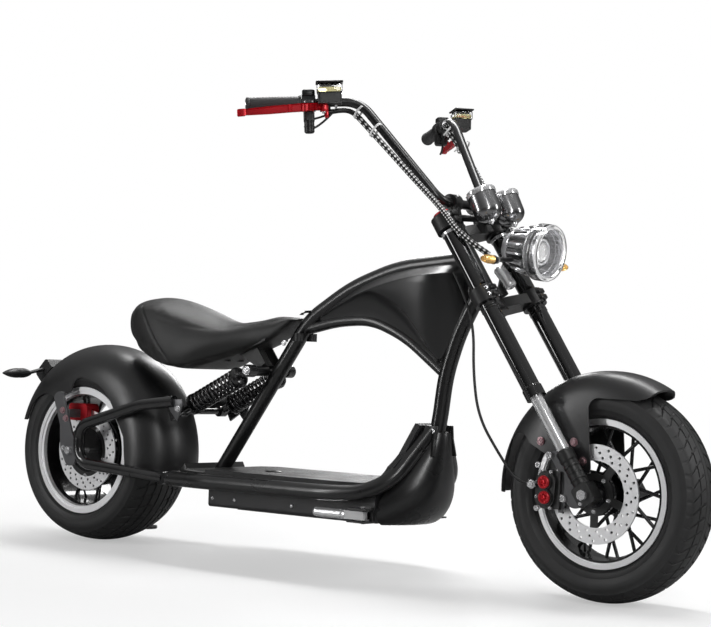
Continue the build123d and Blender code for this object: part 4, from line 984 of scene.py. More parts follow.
@dataclass
class Saddle:
    """Padded saddle, swollen by a cloth simulation, with its seams and piping."""

    voxel: float = 0.006
    pressure: float = 4.0
    cap: float = 0.005
    shrink: float = 0.006
    seam_depth: float = 2.2
    # Station, top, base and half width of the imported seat
    rows: Sequence[Point] = (
        (106, 622, 572, 44), (140, 650, 536, 84), (200, 664, 506, 108), (290, 647, 478, 116), (400, 606, 492, 92),
        (520, 590, 536, 56), (640, 614, 588, 40), (722, 650, 638, 24))
    # Station, and height of the ridge, lift of the base and lift of the top
    ridge: Sequence[tuple[float, float]] = ((118, 612), (160, 632), (235, 640), (292, 604), (350, 588), (424, 584),
                                            (480, 592), (535, 604), (620, 622), (704, 640))
    lower: Sequence[tuple[float, float]] = ((106, 0), (140, 6), (200, 8), (250, 8), (305, 4), (390, -11), (470, -13),
                                            (560, -13), (640, -12), (722, -6))
    raised: Sequence[tuple[float, float]] = ((106, 8), (200, 2), (290, 8), (364, 15), (420, 16), (481, 14), (520, 15),
                                             (600, 17), (660, 12), (722, -3))

    def reshape(self, form: bmesh.types.BMesh) -> None:
        """Round the tail in plan, drop the lower edge and lift the waist."""
        back = PARKED.inverted()
        for vert in form.verts:
            x, y, z = back @ vert.co
            top, base, _ = self.row(x)
            share = min(1.0, max(0.0, (z - base) / (top - base)))
            z += between(x, self.lower) * (1 - share) + between(x, self.raised) * share
            tail = min(1.0, max(0.0, (205 - x) / 85))
            y *= 1 - 0.27 * tail * tail * (3 - 2 * tail)
            vert.co = PARKED @ Vector((x, y, z))

    def row(self, x: float) -> tuple[float, float, float]:
        """Top, base and half width at a station."""
        rows = self.rows
        for low, high in zip(rows, rows[1:]):
            if x <= high[0]:
                break
        t = min(1.0, max(0.0, (x - low[0]) / (high[0] - low[0])))
        t = t * t * (3 - 2 * t) * 0.35 + t * 0.65
        top, base, half = (low[i] + (high[i] - low[i]) * t for i in (1, 2, 3))
        return top, base, half

    def seam(self, x: float) -> tuple[float, float]:
        """Half width and height of the ridge at a station."""
        return self.row(x)[2] + 2, between(x, self.ridge)

    def swell(self, pad: bpy.types.Object) -> None:
        """Inflate the pad against its cover and keep the result."""
        scene = bpy.context.scene
        start = [v.co.copy() for v in pad.data.vertices]
        cloth = pad.modifiers.new("cover", "CLOTH")
        settings = cloth.settings
        settings.use_pressure = True
        settings.uniform_pressure_force = self.pressure
        settings.effector_weights.gravity = 0
        settings.quality = 4
        for index in range(1, 21):
            scene.frame_set(index)
        shape = pad.evaluated_get(bpy.context.evaluated_depsgraph_get()).to_mesh()
        moved = [v.co.copy() for v in shape.vertices]
        pad.modifiers.remove(cloth)
        scene.frame_set(1)
        for vert, before, after in zip(pad.data.vertices, start, moved):
            push = after - before
            vert.co = before + (push.normalized() * self.cap if push.length > self.cap else push)

    def build(self, stock: Stock) -> None:
        """Model the saddle and put it in place of its node."""
        form = bmesh.new()
        form.from_mesh(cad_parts["seat"].data)
        bmesh.ops.remove_doubles(form, verts=form.verts, dist=1e-5)
        bmesh.ops.recalc_face_normals(form, faces=form.faces)
        self.reshape(form)
        form.normal_update()
        for vert in form.verts:
            vert.co -= vert.normal * self.shrink
        pad = linked("saddle", mesh_of(form, "saddle"))
        remesh = pad.modifiers.new("even", "REMESH")
        remesh.mode, remesh.voxel_size = "VOXEL", self.voxel
        self.apply(pad)
        self.swell(pad)
        smooth = pad.modifiers.new("smooth", "SMOOTH")
        smooth.factor, smooth.iterations = 0.5, 4
        fine = pad.modifiers.new("fine", "SUBSURF")
        fine.levels = fine.render_levels = 1
        self.apply(pad)
        self.sew(pad)
        for polygon in pad.data.polygons:
            polygon.use_smooth = True
        pad.data.materials.clear()
        pad.data.materials.append(stock["seat_leather"])
        settle(pad, Body.CHASSIS, ["seat"])
        self.piping(pad, stock)

    def apply(self, pad: bpy.types.Object) -> None:
        """Keep what the modifiers make."""
        made = applied(pad)
        pad.modifiers.clear()
        old, pad.data = pad.data, made
        bpy.data.meshes.remove(old)

    def sew(self, pad: bpy.types.Object) -> None:
        """Pull the cover in along its ridges and along the seams of the rear panel."""
        back = PARKED.inverted()
        pull = []
        for vert in pad.data.vertices:
            place = back @ vert.co
            half, height = self.seam(place.x)
            ridge = math.hypot(abs(place.y) - half, place.z - height) if place.x > 215 else 99.0
            panel = abs(place.x - self.panel(place.z)) if abs(place.y) > 40 and place.z < 640 else 99.0
            depth = 0.9 * math.exp(-(ridge / 6.0) ** 2) + self.seam_depth * math.exp(-(panel / 3.4) ** 2)
            pull.append(vert.co - vert.normal * depth * MM)
        for vert, place in zip(pad.data.vertices, pull):
            vert.co = place

    def panel(self, height: float) -> float:
        """Station of the rear panel's seam at a height."""
        return 212 + 0.88 * (640 - height)

    def piping(self, pad: bpy.types.Object, stock: Stock) -> None:
        """Welt down each seam of the rear panel, laid on the cover."""
        tree = BVHTree.FromObject(pad, bpy.context.evaluated_depsgraph_get())
        back = PARKED.inverted()
        for side, label in ((-1, "right"), (1, "left")):
            points = []
            for step in range(14):
                z = 642 - 144 * step / 13
                x = self.panel(z)
                hit = tree.ray_cast(PARKED @ Vector((x, side * 240, z)), (PARKED.to_3x3() @ Vector((0, -side, 0))))
                if hit[0] is None:
                    continue
                points.append(back @ (hit[0] - hit[1] * 0.0004))
            piece = Piece(f"saddle_welt_{label}", Body.CHASSIS, "seat_leather", stock["seat_leather"])
            piece.add(pipe(points, 1.3)).done(sharp=60)


@dataclass
class Headlight:
    """Clear ribbed bucket with a faceted reflector, a projector lens and its post."""

    radius: float = LAMP_R
    length: float = LAMP_LENGTH
    ribs: int = 30

    def build(self, stock: Stock) -> None:
        """Model the lamp and put it in place of its node."""
        r, face, place = self.radius, self.length, lamp_frame()
        wall = 2.6
        shell = Piece("lamp_bucket", Body.FRONT_END, "lamp_clear", stock["clear_plastic"])
        shell.add(closed_turn([(r - 3, 84), (r, 90), (r, face - 6), (r - 3, face), (r - 9, face), (r - 9, face - 5),
                               (r - wall, face - 8), (r - wall, 91), (r - 6, 86)], 60), place)
        shell.done(["headlight"], 30)
        ribs = Piece("lamp_ribs", Body.FRONT_END, "lamp_clear", stock["smoked_chrome"], stock["reflector"],
                     stock["dial_black"], stock["clear_plastic"])
        ribs.add(closed_turn([(47, 27), (52, 50), (56, 74), (58, 80), (r - 3, 84), (r - 3.5, 86), (54, 80), (49, 50),
                              (44, 27)], 60), place)
        # Wide ribs take the bright reflector finish and narrow ribs are black: the black ribs and the black strips on
        # the wall are painted shade, dark bars standing in for the shaded gaps of a ribbed chrome bucket.
        for index in range(self.ribs):
            spin = Matrix.Rotation(TURN * index / self.ribs, 4, "Z")
            wide = index % 2 == 0
            ribs.add(block(4.5 if wide else 2.2, 5.2 if wide else 3.4, 40, 0.9, 2),
                     place @ spin @ at(53.4, 0, 52) @ Matrix.Rotation(0.19, 4, "Y"), 1 if wide else 2)
            ribs.add(block(1.4, 1.5, 24, 0.4, 1), place @ spin @ at(r - wall - 1.6, 0, 101), 3 if wide else 2)
        ribs.add(closed_turn([(57, 97), (r - 4, 97), (r - 4, 99), (57, 99)], 60), place, 2)
        ribs.add(closed_turn([(31.5, 90), (37, 90), (37, 93), (31.5, 93)], 48), place, 2)
        ribs.done([])
        back = Piece("lamp_back", Body.FRONT_END, "lamp_clear", stock["reflector"], stock["black_plastic"])
        back.add(turned([(0, 0), (20, 0), (38, 8), (45, 20), (47, 26), (44, 30), (0, 30)], 40), place)
        back.add(turned([(0, -4), (13, -4), (15, -2), (15, 3), (0, 3)]), place, 1)
        back.done([])
        bowl = Piece("lamp_reflector", Body.FRONT_END, "lamp_clear", stock["reflector"], stock["dial_black"])
        dish = turned([(22, 52), (30, 56), (40, 68), (46, 82), (49.5, 96), (51, 108), (53, 112), (53.5, 114),
                       (55.5, 114), (56, 108), (51, 76), (42, 40), (24, 40), (22, 52)], self.ribs)
        facets = [f for f in dish.faces if 60 < f.calc_center_median().z < 104
                  and math.hypot(*f.calc_center_median().xy) < 50]
        bmesh.ops.inset_individual(dish, faces=facets, thickness=0.8, depth=-1.4)
        bowl.add(dish, place)
        bowl.add(turned([(0, 50), (23, 50), (23, 54), (0, 54)]), place, 1)
        bowl.add(closed_turn([(24, 88), (30, 88), (31, 92), (30, 96), (25, 96), (24, 92)], 40), place)
        bowl.add(bar(40, 24, 32), place @ at(0, 0, 50))
        bowl.add(closed_turn([(r - 10, face - 12), (r - 5, face - 10), (r - 5, face - 7), (r - 10, face - 7)], 48),
                 place)
        bowl.done([], 20)
        lens = Piece("lamp_lens", Body.FRONT_END, "lamp_clear", stock["clear_plastic"])
        lens.add(turned([(0, face - 6.2), (30, face - 6.4), (r - 10, face - 7), (r - 10, face - 4.4),
                         (40, face - 3.2), (20, face - 1.6), (0, face - 1)], 48), place)
        lens.add(turned([(0, 91), (23, 91), (23, 94), (19, 101), (11, 106), (0, 108)], 32), place)
        lens.done([])
        post = Piece("lamp_post", Body.FRONT_END, "cast_black", stock["cast_black"])
        foot = LOWER_YOKE_S + YOKE_HEIGHT - 6
        knee = fork_frame() @ Vector((-5, 0, foot + 20))
        bracket = place @ Vector((0, 0, 4))
        post.add(bar(24, 10), fork_frame() @ at(-5, 0, foot))
        post.add(bar((bracket - knee).length, 8), along(knee, bracket))
        post.add(ball(9), at(*knee))
        post.add(bar(10.6, 6), along((1304, 0, 728), (1304, -1, 728)))
        post.add(block(16, 34, 26, 3), place @ at(0, 0, -8))
        post.add(hex_bolt(5, 5), along(place @ Vector((0, -17, -8)), place @ Vector((0, -40, -8))), mirror=True)
        post.done([])


class Dial(Enum):
    """What a gauge shows: its greatest number and the step between numbers."""

    SPEED = (80, 20)
    CHARGE = (100, 25)


@dataclass
class Gauges:
    """Two smoked cups with bezels, glasses and dials."""

    radius: float = 34.0
    at_point: Point = (1262.0, 48.0, 884.0)
    tilt: float = math.radians(27)

    def place(self, side: int) -> Matrix:
        """Frame at the bottom of a cup, z towards the rider's eye."""
        x, y, z = self.at_point
        s, c = math.sin(self.tilt), math.cos(self.tilt)
        return basis((x + 38 * s, side * y, z - 38 * c), (0, 1, 0), (-s, 0, c))

    def build(self, stock: Stock) -> None:
        """Model both gauges and put them in place of their node."""
        r = self.radius
        piece = Piece("gauge_cups", Body.FRONT_END, "chrome", stock["smoked_chrome"], stock["chrome"],
                      stock["cast_black"], stock["bolt_steel"])
        faces = Piece("gauge_faces", Body.FRONT_END, "black_plastic", stock["dial_black"], stock["dial_white"],
                      stock["lever_red"])
        glass = Piece("gauge_glasses", Body.FRONT_END, "clear_plastic", stock["clear_plastic"])
        for side, dial in ((-1, Dial.SPEED), (1, Dial.CHARGE)):
            place = self.place(side)
            dome = [(r * math.sin(a), 26 * (1 - math.cos(a))) for a in (math.pi / 2 * i / 10 for i in range(11))]
            piece.add(turned(dome + [(r, 64), (r - 3, 66), (0, 66)], 48), place)
            piece.add(closed_turn([(r - 4, 66), (r + 1, 65), (r + 2, 68), (r + 2, 75), (r, 78), (r - 4, 78),
                                   (r - 5, 76)], 48), place, 1)
            piece.add(turned([(0, -5), (6, -5), (8, -3), (8.5, 0.5), (0, 0.5)], 24), place, 1)
            piece.add(socket_bolt(3.4, 3), place @ at(0, 0, -5) @ Matrix.Rotation(math.pi, 4, "X"), 3)
            foot = fork_frame() @ Vector((6, side * self.at_point[1], UPPER_YOKE_S + YOKE_HEIGHT - 2))
            top = place @ Vector((0, 0, 4))
            piece.add(bar((top - foot).length, 8), along(foot, top), 2)
            self.face(faces, place, dial)
            glass.add(turned([(0, 77), (12, 76.8), (r - 4, 75), (r - 4, 73.6), (12, 75.2), (0, 75.4)], 40), place)
        piece.done(["gauges"])
        faces.done([])
        glass.done([])

    def face(self, piece: Piece, place: Matrix, dial: Dial) -> None:
        """Dial plate with its ticks, numbers and pointer."""
        piece.add(turned([(0, 66), (self.radius - 4.4, 66), (self.radius - 4.4, 68), (0, 68)], 40), place, 0)
        most, step = dial.value
        for value in range(0, most + 1, step // 4):
            turn = Matrix.Rotation(math.radians(225 - 270 * value / most), 4, "Z")
            big = value % step == 0
            piece.add(block(5 if big else 3, 1.1 if big else 0.6, 0.4), place @ turn @ at(26, 0, 68.2), 1)
            if big:
                spot = turn @ Vector((18.5, 0, 68.1))
                piece.add(self.number(str(value)), place @ at(*spot) @ Matrix.Rotation(-math.pi / 2, 4, "Z"), 1)
        needle = Matrix.Rotation(math.radians(215), 4, "Z")
        piece.add(block(22, 1.3, 0.8, 0.2), place @ needle @ at(9, 0, 69.4), 2)
        piece.add(turned([(0, 68), (4, 68), (3.6, 70.6), (0, 71)], 20), place, 0)

    def number(self, text: str) -> bmesh.types.BMesh:
        """Thin raised figures about the origin."""
        curve = bpy.data.curves.new("number", "FONT")
        curve.body, curve.size, curve.extrude = text, 6.4, 0.15
        curve.align_x, curve.align_y = "CENTER", "CENTER"
        form = curve_form(curve)
        bmesh.ops.remove_doubles(form, verts=form.verts, dist=1e-4)
        return form


@dataclass
class Controls:
    """Levers, grips, reservoirs and the fittings on the handlebar."""

    ribs: int = 15
    drop: float = 12.0

    def build(self, stock: Stock) -> None:
        """Model the controls on both ends of the bar."""
        self.levers(stock)
        self.grips(stock)
        self.reservoirs(stock)
        self.fittings(stock)

    def levers(self, stock: Stock) -> None:
        """Machined levers with long pockets in their front faces."""
        stations = [(-186, 31, 13, 9), (-176, 34, 16, 9), (-160, 43, 17, 10), (-146, 49, 18, 10),
                    (-136, 51, 19, 10), (-128, 51.5, 19, 10), (-104, 52, 18, 10), (-98, 52, 18, 10), (-52, 52, 18, 9),
                    (-4, 51, 15, 8), (2, 50.8, 14, 8), (5, 50.5, 17, 10), (20, 50, 17, 10), (22, 50, 13, 7)]
        form = loft([[(x + dx * thick / 2, -14 - self.drop * (z + 186) / 208 + dy * tall / 2, z)
                      for dx, dy in ((-1, -1), (1, -1), (1, 1), (-1, 1))] for z, x, tall, thick in stations])
        front = [f for f in form.faces if f.normal.x > 0.7]
        pockets = [f for f in front if -100 < f.calc_center_median().z < 2]
        bmesh.ops.inset_region(form, faces=pockets, thickness=2.6, depth=0)
        bmesh.ops.translate(form, vec=(-5.5, 0, 0), verts=list({v for f in pockets for v in f.verts}))
        short = [f for f in form.faces if f.normal.x > 0.6 and f.calc_area() > 60
                 and -172 < f.calc_center_median().z < -108]
        bmesh.ops.inset_individual(form, faces=short, thickness=3.0, depth=-5.0)
        piece = Piece("brake_lever_blades", Body.FRONT_END, "lever_red", stock["lever_red"], stock["bolt_steel"])
        place = bar_frame()
        piece.add(form, place, mirror=True)
        hook = plate([(26, -188), (40, -190), (41, -176), (30, -170), (24, -178)], 24, 1.0)
        turn = Matrix(((1, 0, 0, 0), (0, 0, -1, -2), (0, 1, 0, 0), (0, 0, 0, 1)))
        piece.add(hook, place @ turn, mirror=True)
        piece.add(block(9, 30, 9, 1.5), place @ at(33, -26, -186), mirror=True)
        piece.add(socket_bolt(5, 4), place @ rightwards(34, -26, -180), 1, mirror=True)
        piece.done(["brake_levers"], 40)

    def grips(self, stock: Stock) -> None:
        """Knurled grips between a flange and an end cap."""
        profile = [(BAR_R + 0.2, -GRIP_LENGTH), (18, -GRIP_LENGTH), (18.4, 2 - GRIP_LENGTH), (18, 5 - GRIP_LENGTH),
                   (15.6, 7 - GRIP_LENGTH)]
        start, stop = 10 - GRIP_LENGTH, -10.0
        for index in range(self.ribs * 2 + 1):
            profile.append((15.3 if index % 2 else 16.1, start + (stop - start) * index / (self.ribs * 2)))
        profile += [(15.4, -7), (17, -5), (17.2, -1), (16, 1)]
        form = turned(profile + [(13.5, 2.6), (13.5, 1.6), (0, 1.2)], 40)
        for vert in form.verts:
            r = math.hypot(vert.co.x, vert.co.y)
            if start < vert.co.z < stop and r > 14:
                swing = math.cos(20 * math.atan2(vert.co.y, vert.co.x) + vert.co.z * 0.55)
                vert.co.xy *= 1 + 0.02 * swing
        piece = Piece("grip_sleeves", Body.FRONT_END, "grip_rubber", stock["grip_rubber"], stock["bolt_steel"])
        piece.add(form, bar_frame(), mirror=True)
        piece.add(turned([(0, 1), (11, 1), (12, 2.5), (11, 3.9), (6, 4), (5, 3), (0, 3)], 28), bar_frame(), 1,
                  mirror=True)
        piece.done(["grips"], 50)

    def reservoirs(self, stock: Stock) -> None:
        """Clear cups half full of fluid, under lids held by screws."""
        place, middle = bar_frame(), -GRIP_LENGTH - 66
        cup = Piece("reservoir_cups", Body.FRONT_END, "clear_plastic", stock["clear_plastic"])
        cup.add(block(46, 25, 60, 6, 3), place @ at(40, 26, middle), mirror=True)
        cup.add(block(41, 20, 55, 4, 2), place @ at(40, 26, middle), mirror=True, inward=True)
        cup.done(["reservoirs"], 50)
        fluid = Piece("brake_fluid", Body.FRONT_END, "clear_plastic", stock["fluid"], stock["dial_black"])
        fluid.add(block(40, 12, 54, 3.5, 2), place @ at(40, 23, middle), mirror=True)
        fluid.add(block(30, 4, 44, 1.6, 1), place @ at(40, 34, middle), 1, mirror=True)
        fluid.done([])
        lid = Piece("reservoir_lids", Body.FRONT_END, "clear_plastic", stock["black_plastic"], stock["bolt_steel"])
        lid.add(block(50, 4.4, 64, 2, 3), place @ at(40, 40.6, middle), mirror=True)
        for dx, dz in ((-17, -24), (17, 24)):
            screw = place @ basis((40 + dx, 42.2, middle + dz), (1, 0, 0), (0, 1, 0))
            lid.add(socket_bolt(3.4, 1.6), screw, 1, mirror=True)
        lid.done([], 40)

    def fittings(self, stock: Stock) -> None:
        """Clamps, screws, switches, ties and the throttle's cylinder."""
        piece = Piece("bar_fittings", Body.FRONT_END, "black_plastic", stock["black_plastic"], stock["bolt_steel"],
                      stock["white_tie"], stock["chrome"], stock["lever_red"])
        place, root = bar_frame(), -GRIP_LENGTH
        pump = place @ basis((0, 0, root - 17), (0, 0, 1), (0, 1, 0))
        piece.add(turned([(0, -72), (9, -72), (12, -69), (12, -20), (13, -16), (13, 0), (0, 0)], 24), pump)
        for height in (-34, -46, -58):
            ring = closed_turn([(11.8, height), (12.8, height + 1), (12.8, height + 3), (11.8, height + 4)], 24)
            piece.add(ring, pump)
        left = ACROSS @ place
        piece.add(block(30, 34, 30, 5), left @ at(0, -24, root - 17))
        piece.add(block(8, 10, 14, 2), left @ at(17, -22, root - 17))
        piece.add(turned([(0, 0), (5, 0), (5, 4), (4, 5), (0, 5)], 20),
                  left @ basis((15, -34, root - 17), (0, 0, 1), (1, 0, 0)), 4)
        piece.add(block(30, 16, 30, 4), place @ at(2, 22, root - 17), mirror=True)
        for dz in (-9, 9):
            for bolt, spot in ((socket_bolt(2.6, 2), (21, 0, root - 17 + dz)),
                               (socket_bolt(3.4, 3), (18, 8, root - 55 + dz))):
                piece.add(bolt, place @ basis(spot, (0, 0, 1), (1, 0, 0)), 1, mirror=True)
        piece.add(closed_turn([(BAR_R + 0.4, -2), (BAR_R + 3, -2), (BAR_R + 3, 4), (BAR_R + 0.4, 4)], 28),
                  place @ at(0, 0, root - 82), 3, mirror=True)
        for spot in ((990, -189, 1100), (1032, -179, 1056)):
            tie = along(spot, Vector(spot) + Vector((50, 12, -46)))
            ring = closed_turn([(12.6, -2.4), (14.2, -2.4), (14.2, 2.4), (12.6, 2.4)], 28)
            bmesh.ops.scale(ring, vec=(1, 1.45, 1), verts=ring.verts)
            piece.add(ring, tie, 2, mirror=True)
            piece.add(block(3, 20, 3.4, 0.8), tie @ at(13.6, -12, 0), 2, mirror=True)
        piece.add(pipe([(984, -190, 1091), (972, -194, 1100), (958, -204, 1104), (940, -222, 1100), (926, -240, 1094)],
                       6.2), mirror=True)
        for start, knee, end in (((950, -212, 1104), (915, -252, 1078), (898, -266, 1076)),
                                 ((940, -222, 1100), (918, -250, 1056), (899, -267, 1052))):
            piece.add(pipe([start, knee, end], 2.6), mirror=True)
        for dx in (-16, 16):
            clamp = basis((1168 + dx * 0.83, -48, 901 + dx * 0.4), (1, 0, 0), (-0.4, 0, 1))
            piece.add(socket_bolt(4.2, 5), clamp, 1, mirror=True)
        piece.done([])


@dataclass
class Cables:
    """Braided looms along the bar and the front brake hose, each on its own smooth line."""

    hose_r: float = 3.2
    loom_r: float = 6.8
    loom_points: Sequence[Point] = ((978, -190, 1096), (1052, -176, 1024), (1130, -146, 938), (1195, -128, 873.5),
                                    (1243, -121, 811.5), (1284, -60, 772))
    hose_points: Sequence[Point] = ((1204, -85, 729), (1238, -88, 679), (1280, -104, 600), (1288, -112, 500),
                                    (1306, -112, 400), (1366, -112, 318), (1408, -84, 248), (1447.7, -84, 256))

    def cable(self, name: str, points: Sequence[Point], radius: float, length: float, slot: str, stiffness: str,
              material: bpy.types.Material, node: str) -> None:
        """One cable, from where it leaves a fitting to where it goes back into the vehicle.

        Args:
            name: Name of the piece.
            points: Control points of its line, in upright millimetres.
            radius: Radius in millimetres.
            length: Real length in metres; not used.
            slot: Material slot; not used.
            stiffness: How stiff it is; not used.
            material: Its material.
            node: CAD node that it stands for.
        """
        curve = smooth_curve(name, [PARKED @ Vector(point) for point in points], radius * MM, 6, 16)
        cable = linked(name, curve)
        curve.materials.append(material)
        settle(cable, Body.FRONT_END, [node])

    def braid(self) -> bpy.types.Material:
        """Black sleeve with pale threads crossing over it."""
        material, wire, shader = Finish("loom_braid", (0.012, 0.012, 0.012), 0.5).shell()
        parts = wire.node("SeparateXYZ", {0: wire.node("TexCoord").outputs["UV"]})
        runs = wire.math("MULTIPLY", parts.outputs[0], 150.0)
        turns = wire.math("MULTIPLY", parts.outputs[1], TURN * 3)
        one = wire.math("SINE", wire.math("ADD", runs, turns))
        two = wire.math("SINE", wire.math("SUBTRACT", runs, turns))
        weave = wire.math("MULTIPLY", one, two)
        mask = wire.node("MapRange", {0: weave, 1: 0.3, 2: 0.42}).outputs[0]
        material.node_tree.links.new(wire.blend(mask, (0.006, 0.006, 0.006), (0.8, 0.8, 0.8)),
                                     shader.inputs["Base Color"])
        bump = wire.node("Bump", {"Strength": 0.6, "Distance": 0.0006, "Height": weave})
        material.node_tree.links.new(bump.outputs[0], shader.inputs["Normal"])
        return material

    def build(self, stock: Stock) -> None:
        """Lay the three cables."""
        braid = self.braid()
        for name, side in (("loom_right", 1), ("loom_left", -1)):
            points = [(x, side * y, z) for x, y, z in self.loom_points]
            self.cable(name, points, self.loom_r, LOOM_LENGTH, "loom_braid", "medium", braid, "looms")
        self.cable("front_brake_hose", self.hose_points, self.hose_r, HOSE_LENGTH, "hose_rubber", "medium",
                   stock["hose_rubber"], "brake_hose")


@dataclass
class Fasteners:
    """Bolts, screws and small fittings over the vehicle."""

    def build(self, stock: Stock) -> None:
        """Model the fasteners of each body."""
        self.front(stock)
        self.fork(stock)
        self.rear(stock)
        self.middle(stock)
        self.wheels(stock)

    def front(self, stock: Stock) -> None:
        """Bolts of the front fender, the caliper and its bracket."""
        piece = Piece("front_bolts", Body.FRONT_END, "bolt_steel", stock["bolt_steel"], stock["bolt_rose"],
                      stock["bolt_black"], stock["lever_red"])
        for x, z in ((1453.5, 351.7), (1539.6, 354.5), (1564.4, 314.1)):
            piece.add(hex_bolt(8, 6), rightwards(x, -76.2, z), 1, mirror=True)
        for x, z in ((1481, 322), (1519, 229)):
            piece.add(socket_bolt(9, 6), rightwards(x, -81.0, z))
        for z in (300, 204):
            piece.add(socket_bolt(7, 5), rightwards(1462, -96, z))
        for turn in (-1, 1):
            cap = rightwards(1480 - turn * 1.2, -103, 246 + turn * 17)
            for index in range(12):
                spin = Matrix.Rotation(TURN * index / 12, 4, "Z")
                piece.add(block(6.5, 1.6, 3.4, 0.5, 1), cap @ spin @ at(9.6, 0, 0), 3)
            piece.add(turned([(0, -3), (5.6, -3), (5.6, 2.4), (4.4, 3.4), (3, 3.4), (3, 1), (0, 1)], 6), cap, 3)
        for x, z in ((1466, 286), (1494, 286), (1466, 206), (1494, 206), (1458, 262), (1458, 230)):
            piece.add(socket_bolt(4, 4), rightwards(x, -92, z), 0)
        piece.add(bar(30, 5.5), rightwards(1448, -70, 256))
        piece.add(hex_bolt(8, 9), rightwards(1448, -100, 256))
        piece.done([])

    def fork(self, stock: Stock) -> None:
        """Rings, caps, clamp bolts and drain screws of the fork."""
        piece = Piece("fork_fittings", Body.FRONT_END, "bolt_steel", stock["bolt_steel"], stock["lever_red"],
                      stock["cast_black"], stock["gloss_black"])
        tube = fork_frame(-1)
        piece.add(closed_turn([(11.8, 746), (16, 746), (20.4, 743.5), (21.4, 740.6), (21.4, 744), (20, 748.5),
                               (11.8, 749.5)], 40), tube, 1, mirror=True)
        piece.add(closed_turn([(21.1, 690), (23, 691), (23, 697), (21.1, 698)], 40), tube, 0, mirror=True)
        piece.add(turned([(0, 747), (7, 747), (7, 751), (5.4, 752.4), (3.5, 752.4), (3.2, 750), (0, 750)], 24), tube,
                  mirror=True)
        for height in (262, 268, 480, 486):
            piece.add(closed_turn([(21.1, height), (22.4, height + 0.8), (22.4, height + 2.8), (21.1, height + 3.6)],
                                  40), tube, 3, mirror=True)
        for s in (LOWER_YOKE_S, UPPER_YOKE_S):
            for up in (11, 27):
                bolt = basis((25, -13, s + up), (0, 0, 1), (0, -1, 0))
                piece.add(socket_bolt(5, 6), tube @ bolt, 0, mirror=True)
                piece.add(block(17, 26, 12, 2), tube @ at(27, 0, s + up), 2, mirror=True)
        piece.add(hex_bolt(15, 12), fork_frame() @ at(-STEM_BACK, 0, UPPER_YOKE_S + YOKE_HEIGHT))
        for height in (20, 36, 52, 68):
            piece.add(closed_turn([(18.1, height), (19.4, height + 1), (19.4, height + 4), (18.1, height + 5)], 36),
                      tube, 2, mirror=True)
        piece.add(socket_bolt(4.5, 4), tube @ rightwards(-14, -19, -14), mirror=True)
        piece.done([])

    def rear(self, stock: Stock) -> None:
        """Bolts of the rear plates, the axle, the shocks and the rear fender."""
        piece = Piece("rear_bolts", Body.CHASSIS, "bolt_steel", stock["bolt_steel"], stock["bolt_rose"],
                      stock["bolt_black"], stock["plate_grey"])
        for x, z in ((-31, 351), (-18, 330)):
            piece.add(hex_bolt(7.5, 6), rightwards(x, -137, z), 1, mirror=True)
        gusset = plate([(340, 397), (400, 399), (404, 386), (386, 342), (362, 366)], 4, 0.8)
        piece.add(gusset, rightwards(0, -127, 0), 3, mirror=True)
        piece.add(hex_bolt(7, 6), rightwards(388, -131, 374), 0, mirror=True)
        for (x, z), size in (((352, 366), 8), ((579, 479), 9)):
            piece.add(hex_bolt(size, 8), rightwards(x, -87, z), 0, mirror=True)
        piece.add(hex_bolt(6, 5), rightwards(-24, -137, 250), 0)
        piece.done([])

    def middle(self, stock: Stock) -> None:
        """Screws of the battery box, the nose guard and the pegs, and the lock in the mat."""
        piece = Piece("deck_fittings", Body.CHASSIS, "bolt_steel", stock["bolt_steel"], stock["bolt_black"],
                      stock["black_plastic"])
        for x in (520, 594, 780, 900):
            piece.add(socket_bolt(4.2, 2.4), rightwards(x, -130, 156), 0, mirror=True)
        knob = turned([(0, 0), (15, 0), (15, 2), (13, 3.4), (6, 3.6), (5, 2.4), (0, 2.4)], 30)
        bmesh.ops.scale(knob, vec=(1.6, 1, 1), verts=knob.verts)
        piece.add(knob, at(640, -40, 227), 1)
        piece.add(block(34, 5, 34, 2), at(1120, -33, 352) @ Matrix.Rotation(-0.12, 4, "X"), 1, mirror=True)
        piece.add(socket_bolt(6, 4), rightwards(1126, -35.5, 356), 0, mirror=True)
        for top, foot in (((1111, -34, 344), (1112, -52, 282)), ((1130, -33, 344), (1134, -44, 296))):
            leg = block(13, 5, (Vector(top) - Vector(foot)).length, 2)
            piece.add(leg, along((Vector(top) + Vector(foot)) / 2, foot, (1, 0, 0)), 1, mirror=True)
        piece.add(bar(3, 6), at(1015, -150, 171), mirror=True)
        piece.add(hex_bolt(6, 5), rightwards(642, -20, 552), 0, mirror=True)
        foot = plate([(388, 206), (388, 220), (402, 236), (410, 222), (474, 219), (474, 213), (404, 214)], 226, 1.5)
        piece.add(foot, rightwards(0, 113, 0), 1)
        for along_x in (452, 694):
            piece.add(bar(20, 13, 24), at(along_x, -26, 500 + (along_x - 452) * 0.24), 2, mirror=True)
        piece.done([])

    def wheels(self, stock: Stock) -> None:
        """Bolts of the brake discs, on the wheels."""
        for name, body, x, radius, ring, y in (
                ("front_hub_bolts", Body.FRONT_WHEEL, WHEELBASE, FRONT_R, 38, 68.2),
                ("rear_hub_bolts", Body.REAR_WHEEL, 0.0, REAR_R, 68, 72.2)):
            piece = Piece(name, body, "bolt_steel", stock["bolt_steel"], stock["cast_black"])
            for index in range(5):
                angle = TURN * index / 5 + math.radians(18)
                spot = (x + ring * math.cos(angle), -y, radius - ring * math.sin(angle))
                piece.add(socket_bolt(5, 4), rightwards(*spot))
            valve = math.radians(250)
            rim = 162 if x else 166
            start = Vector((x + (rim - 22) * math.cos(valve), -20, radius + (rim - 22) * math.sin(valve)))
            end = start + Vector((-24 * math.cos(valve), -16, -24 * math.sin(valve)))
            piece.add(bar((end - start).length, 3.4, 14, 2.6), along(start, end), 1)
            piece.done([])


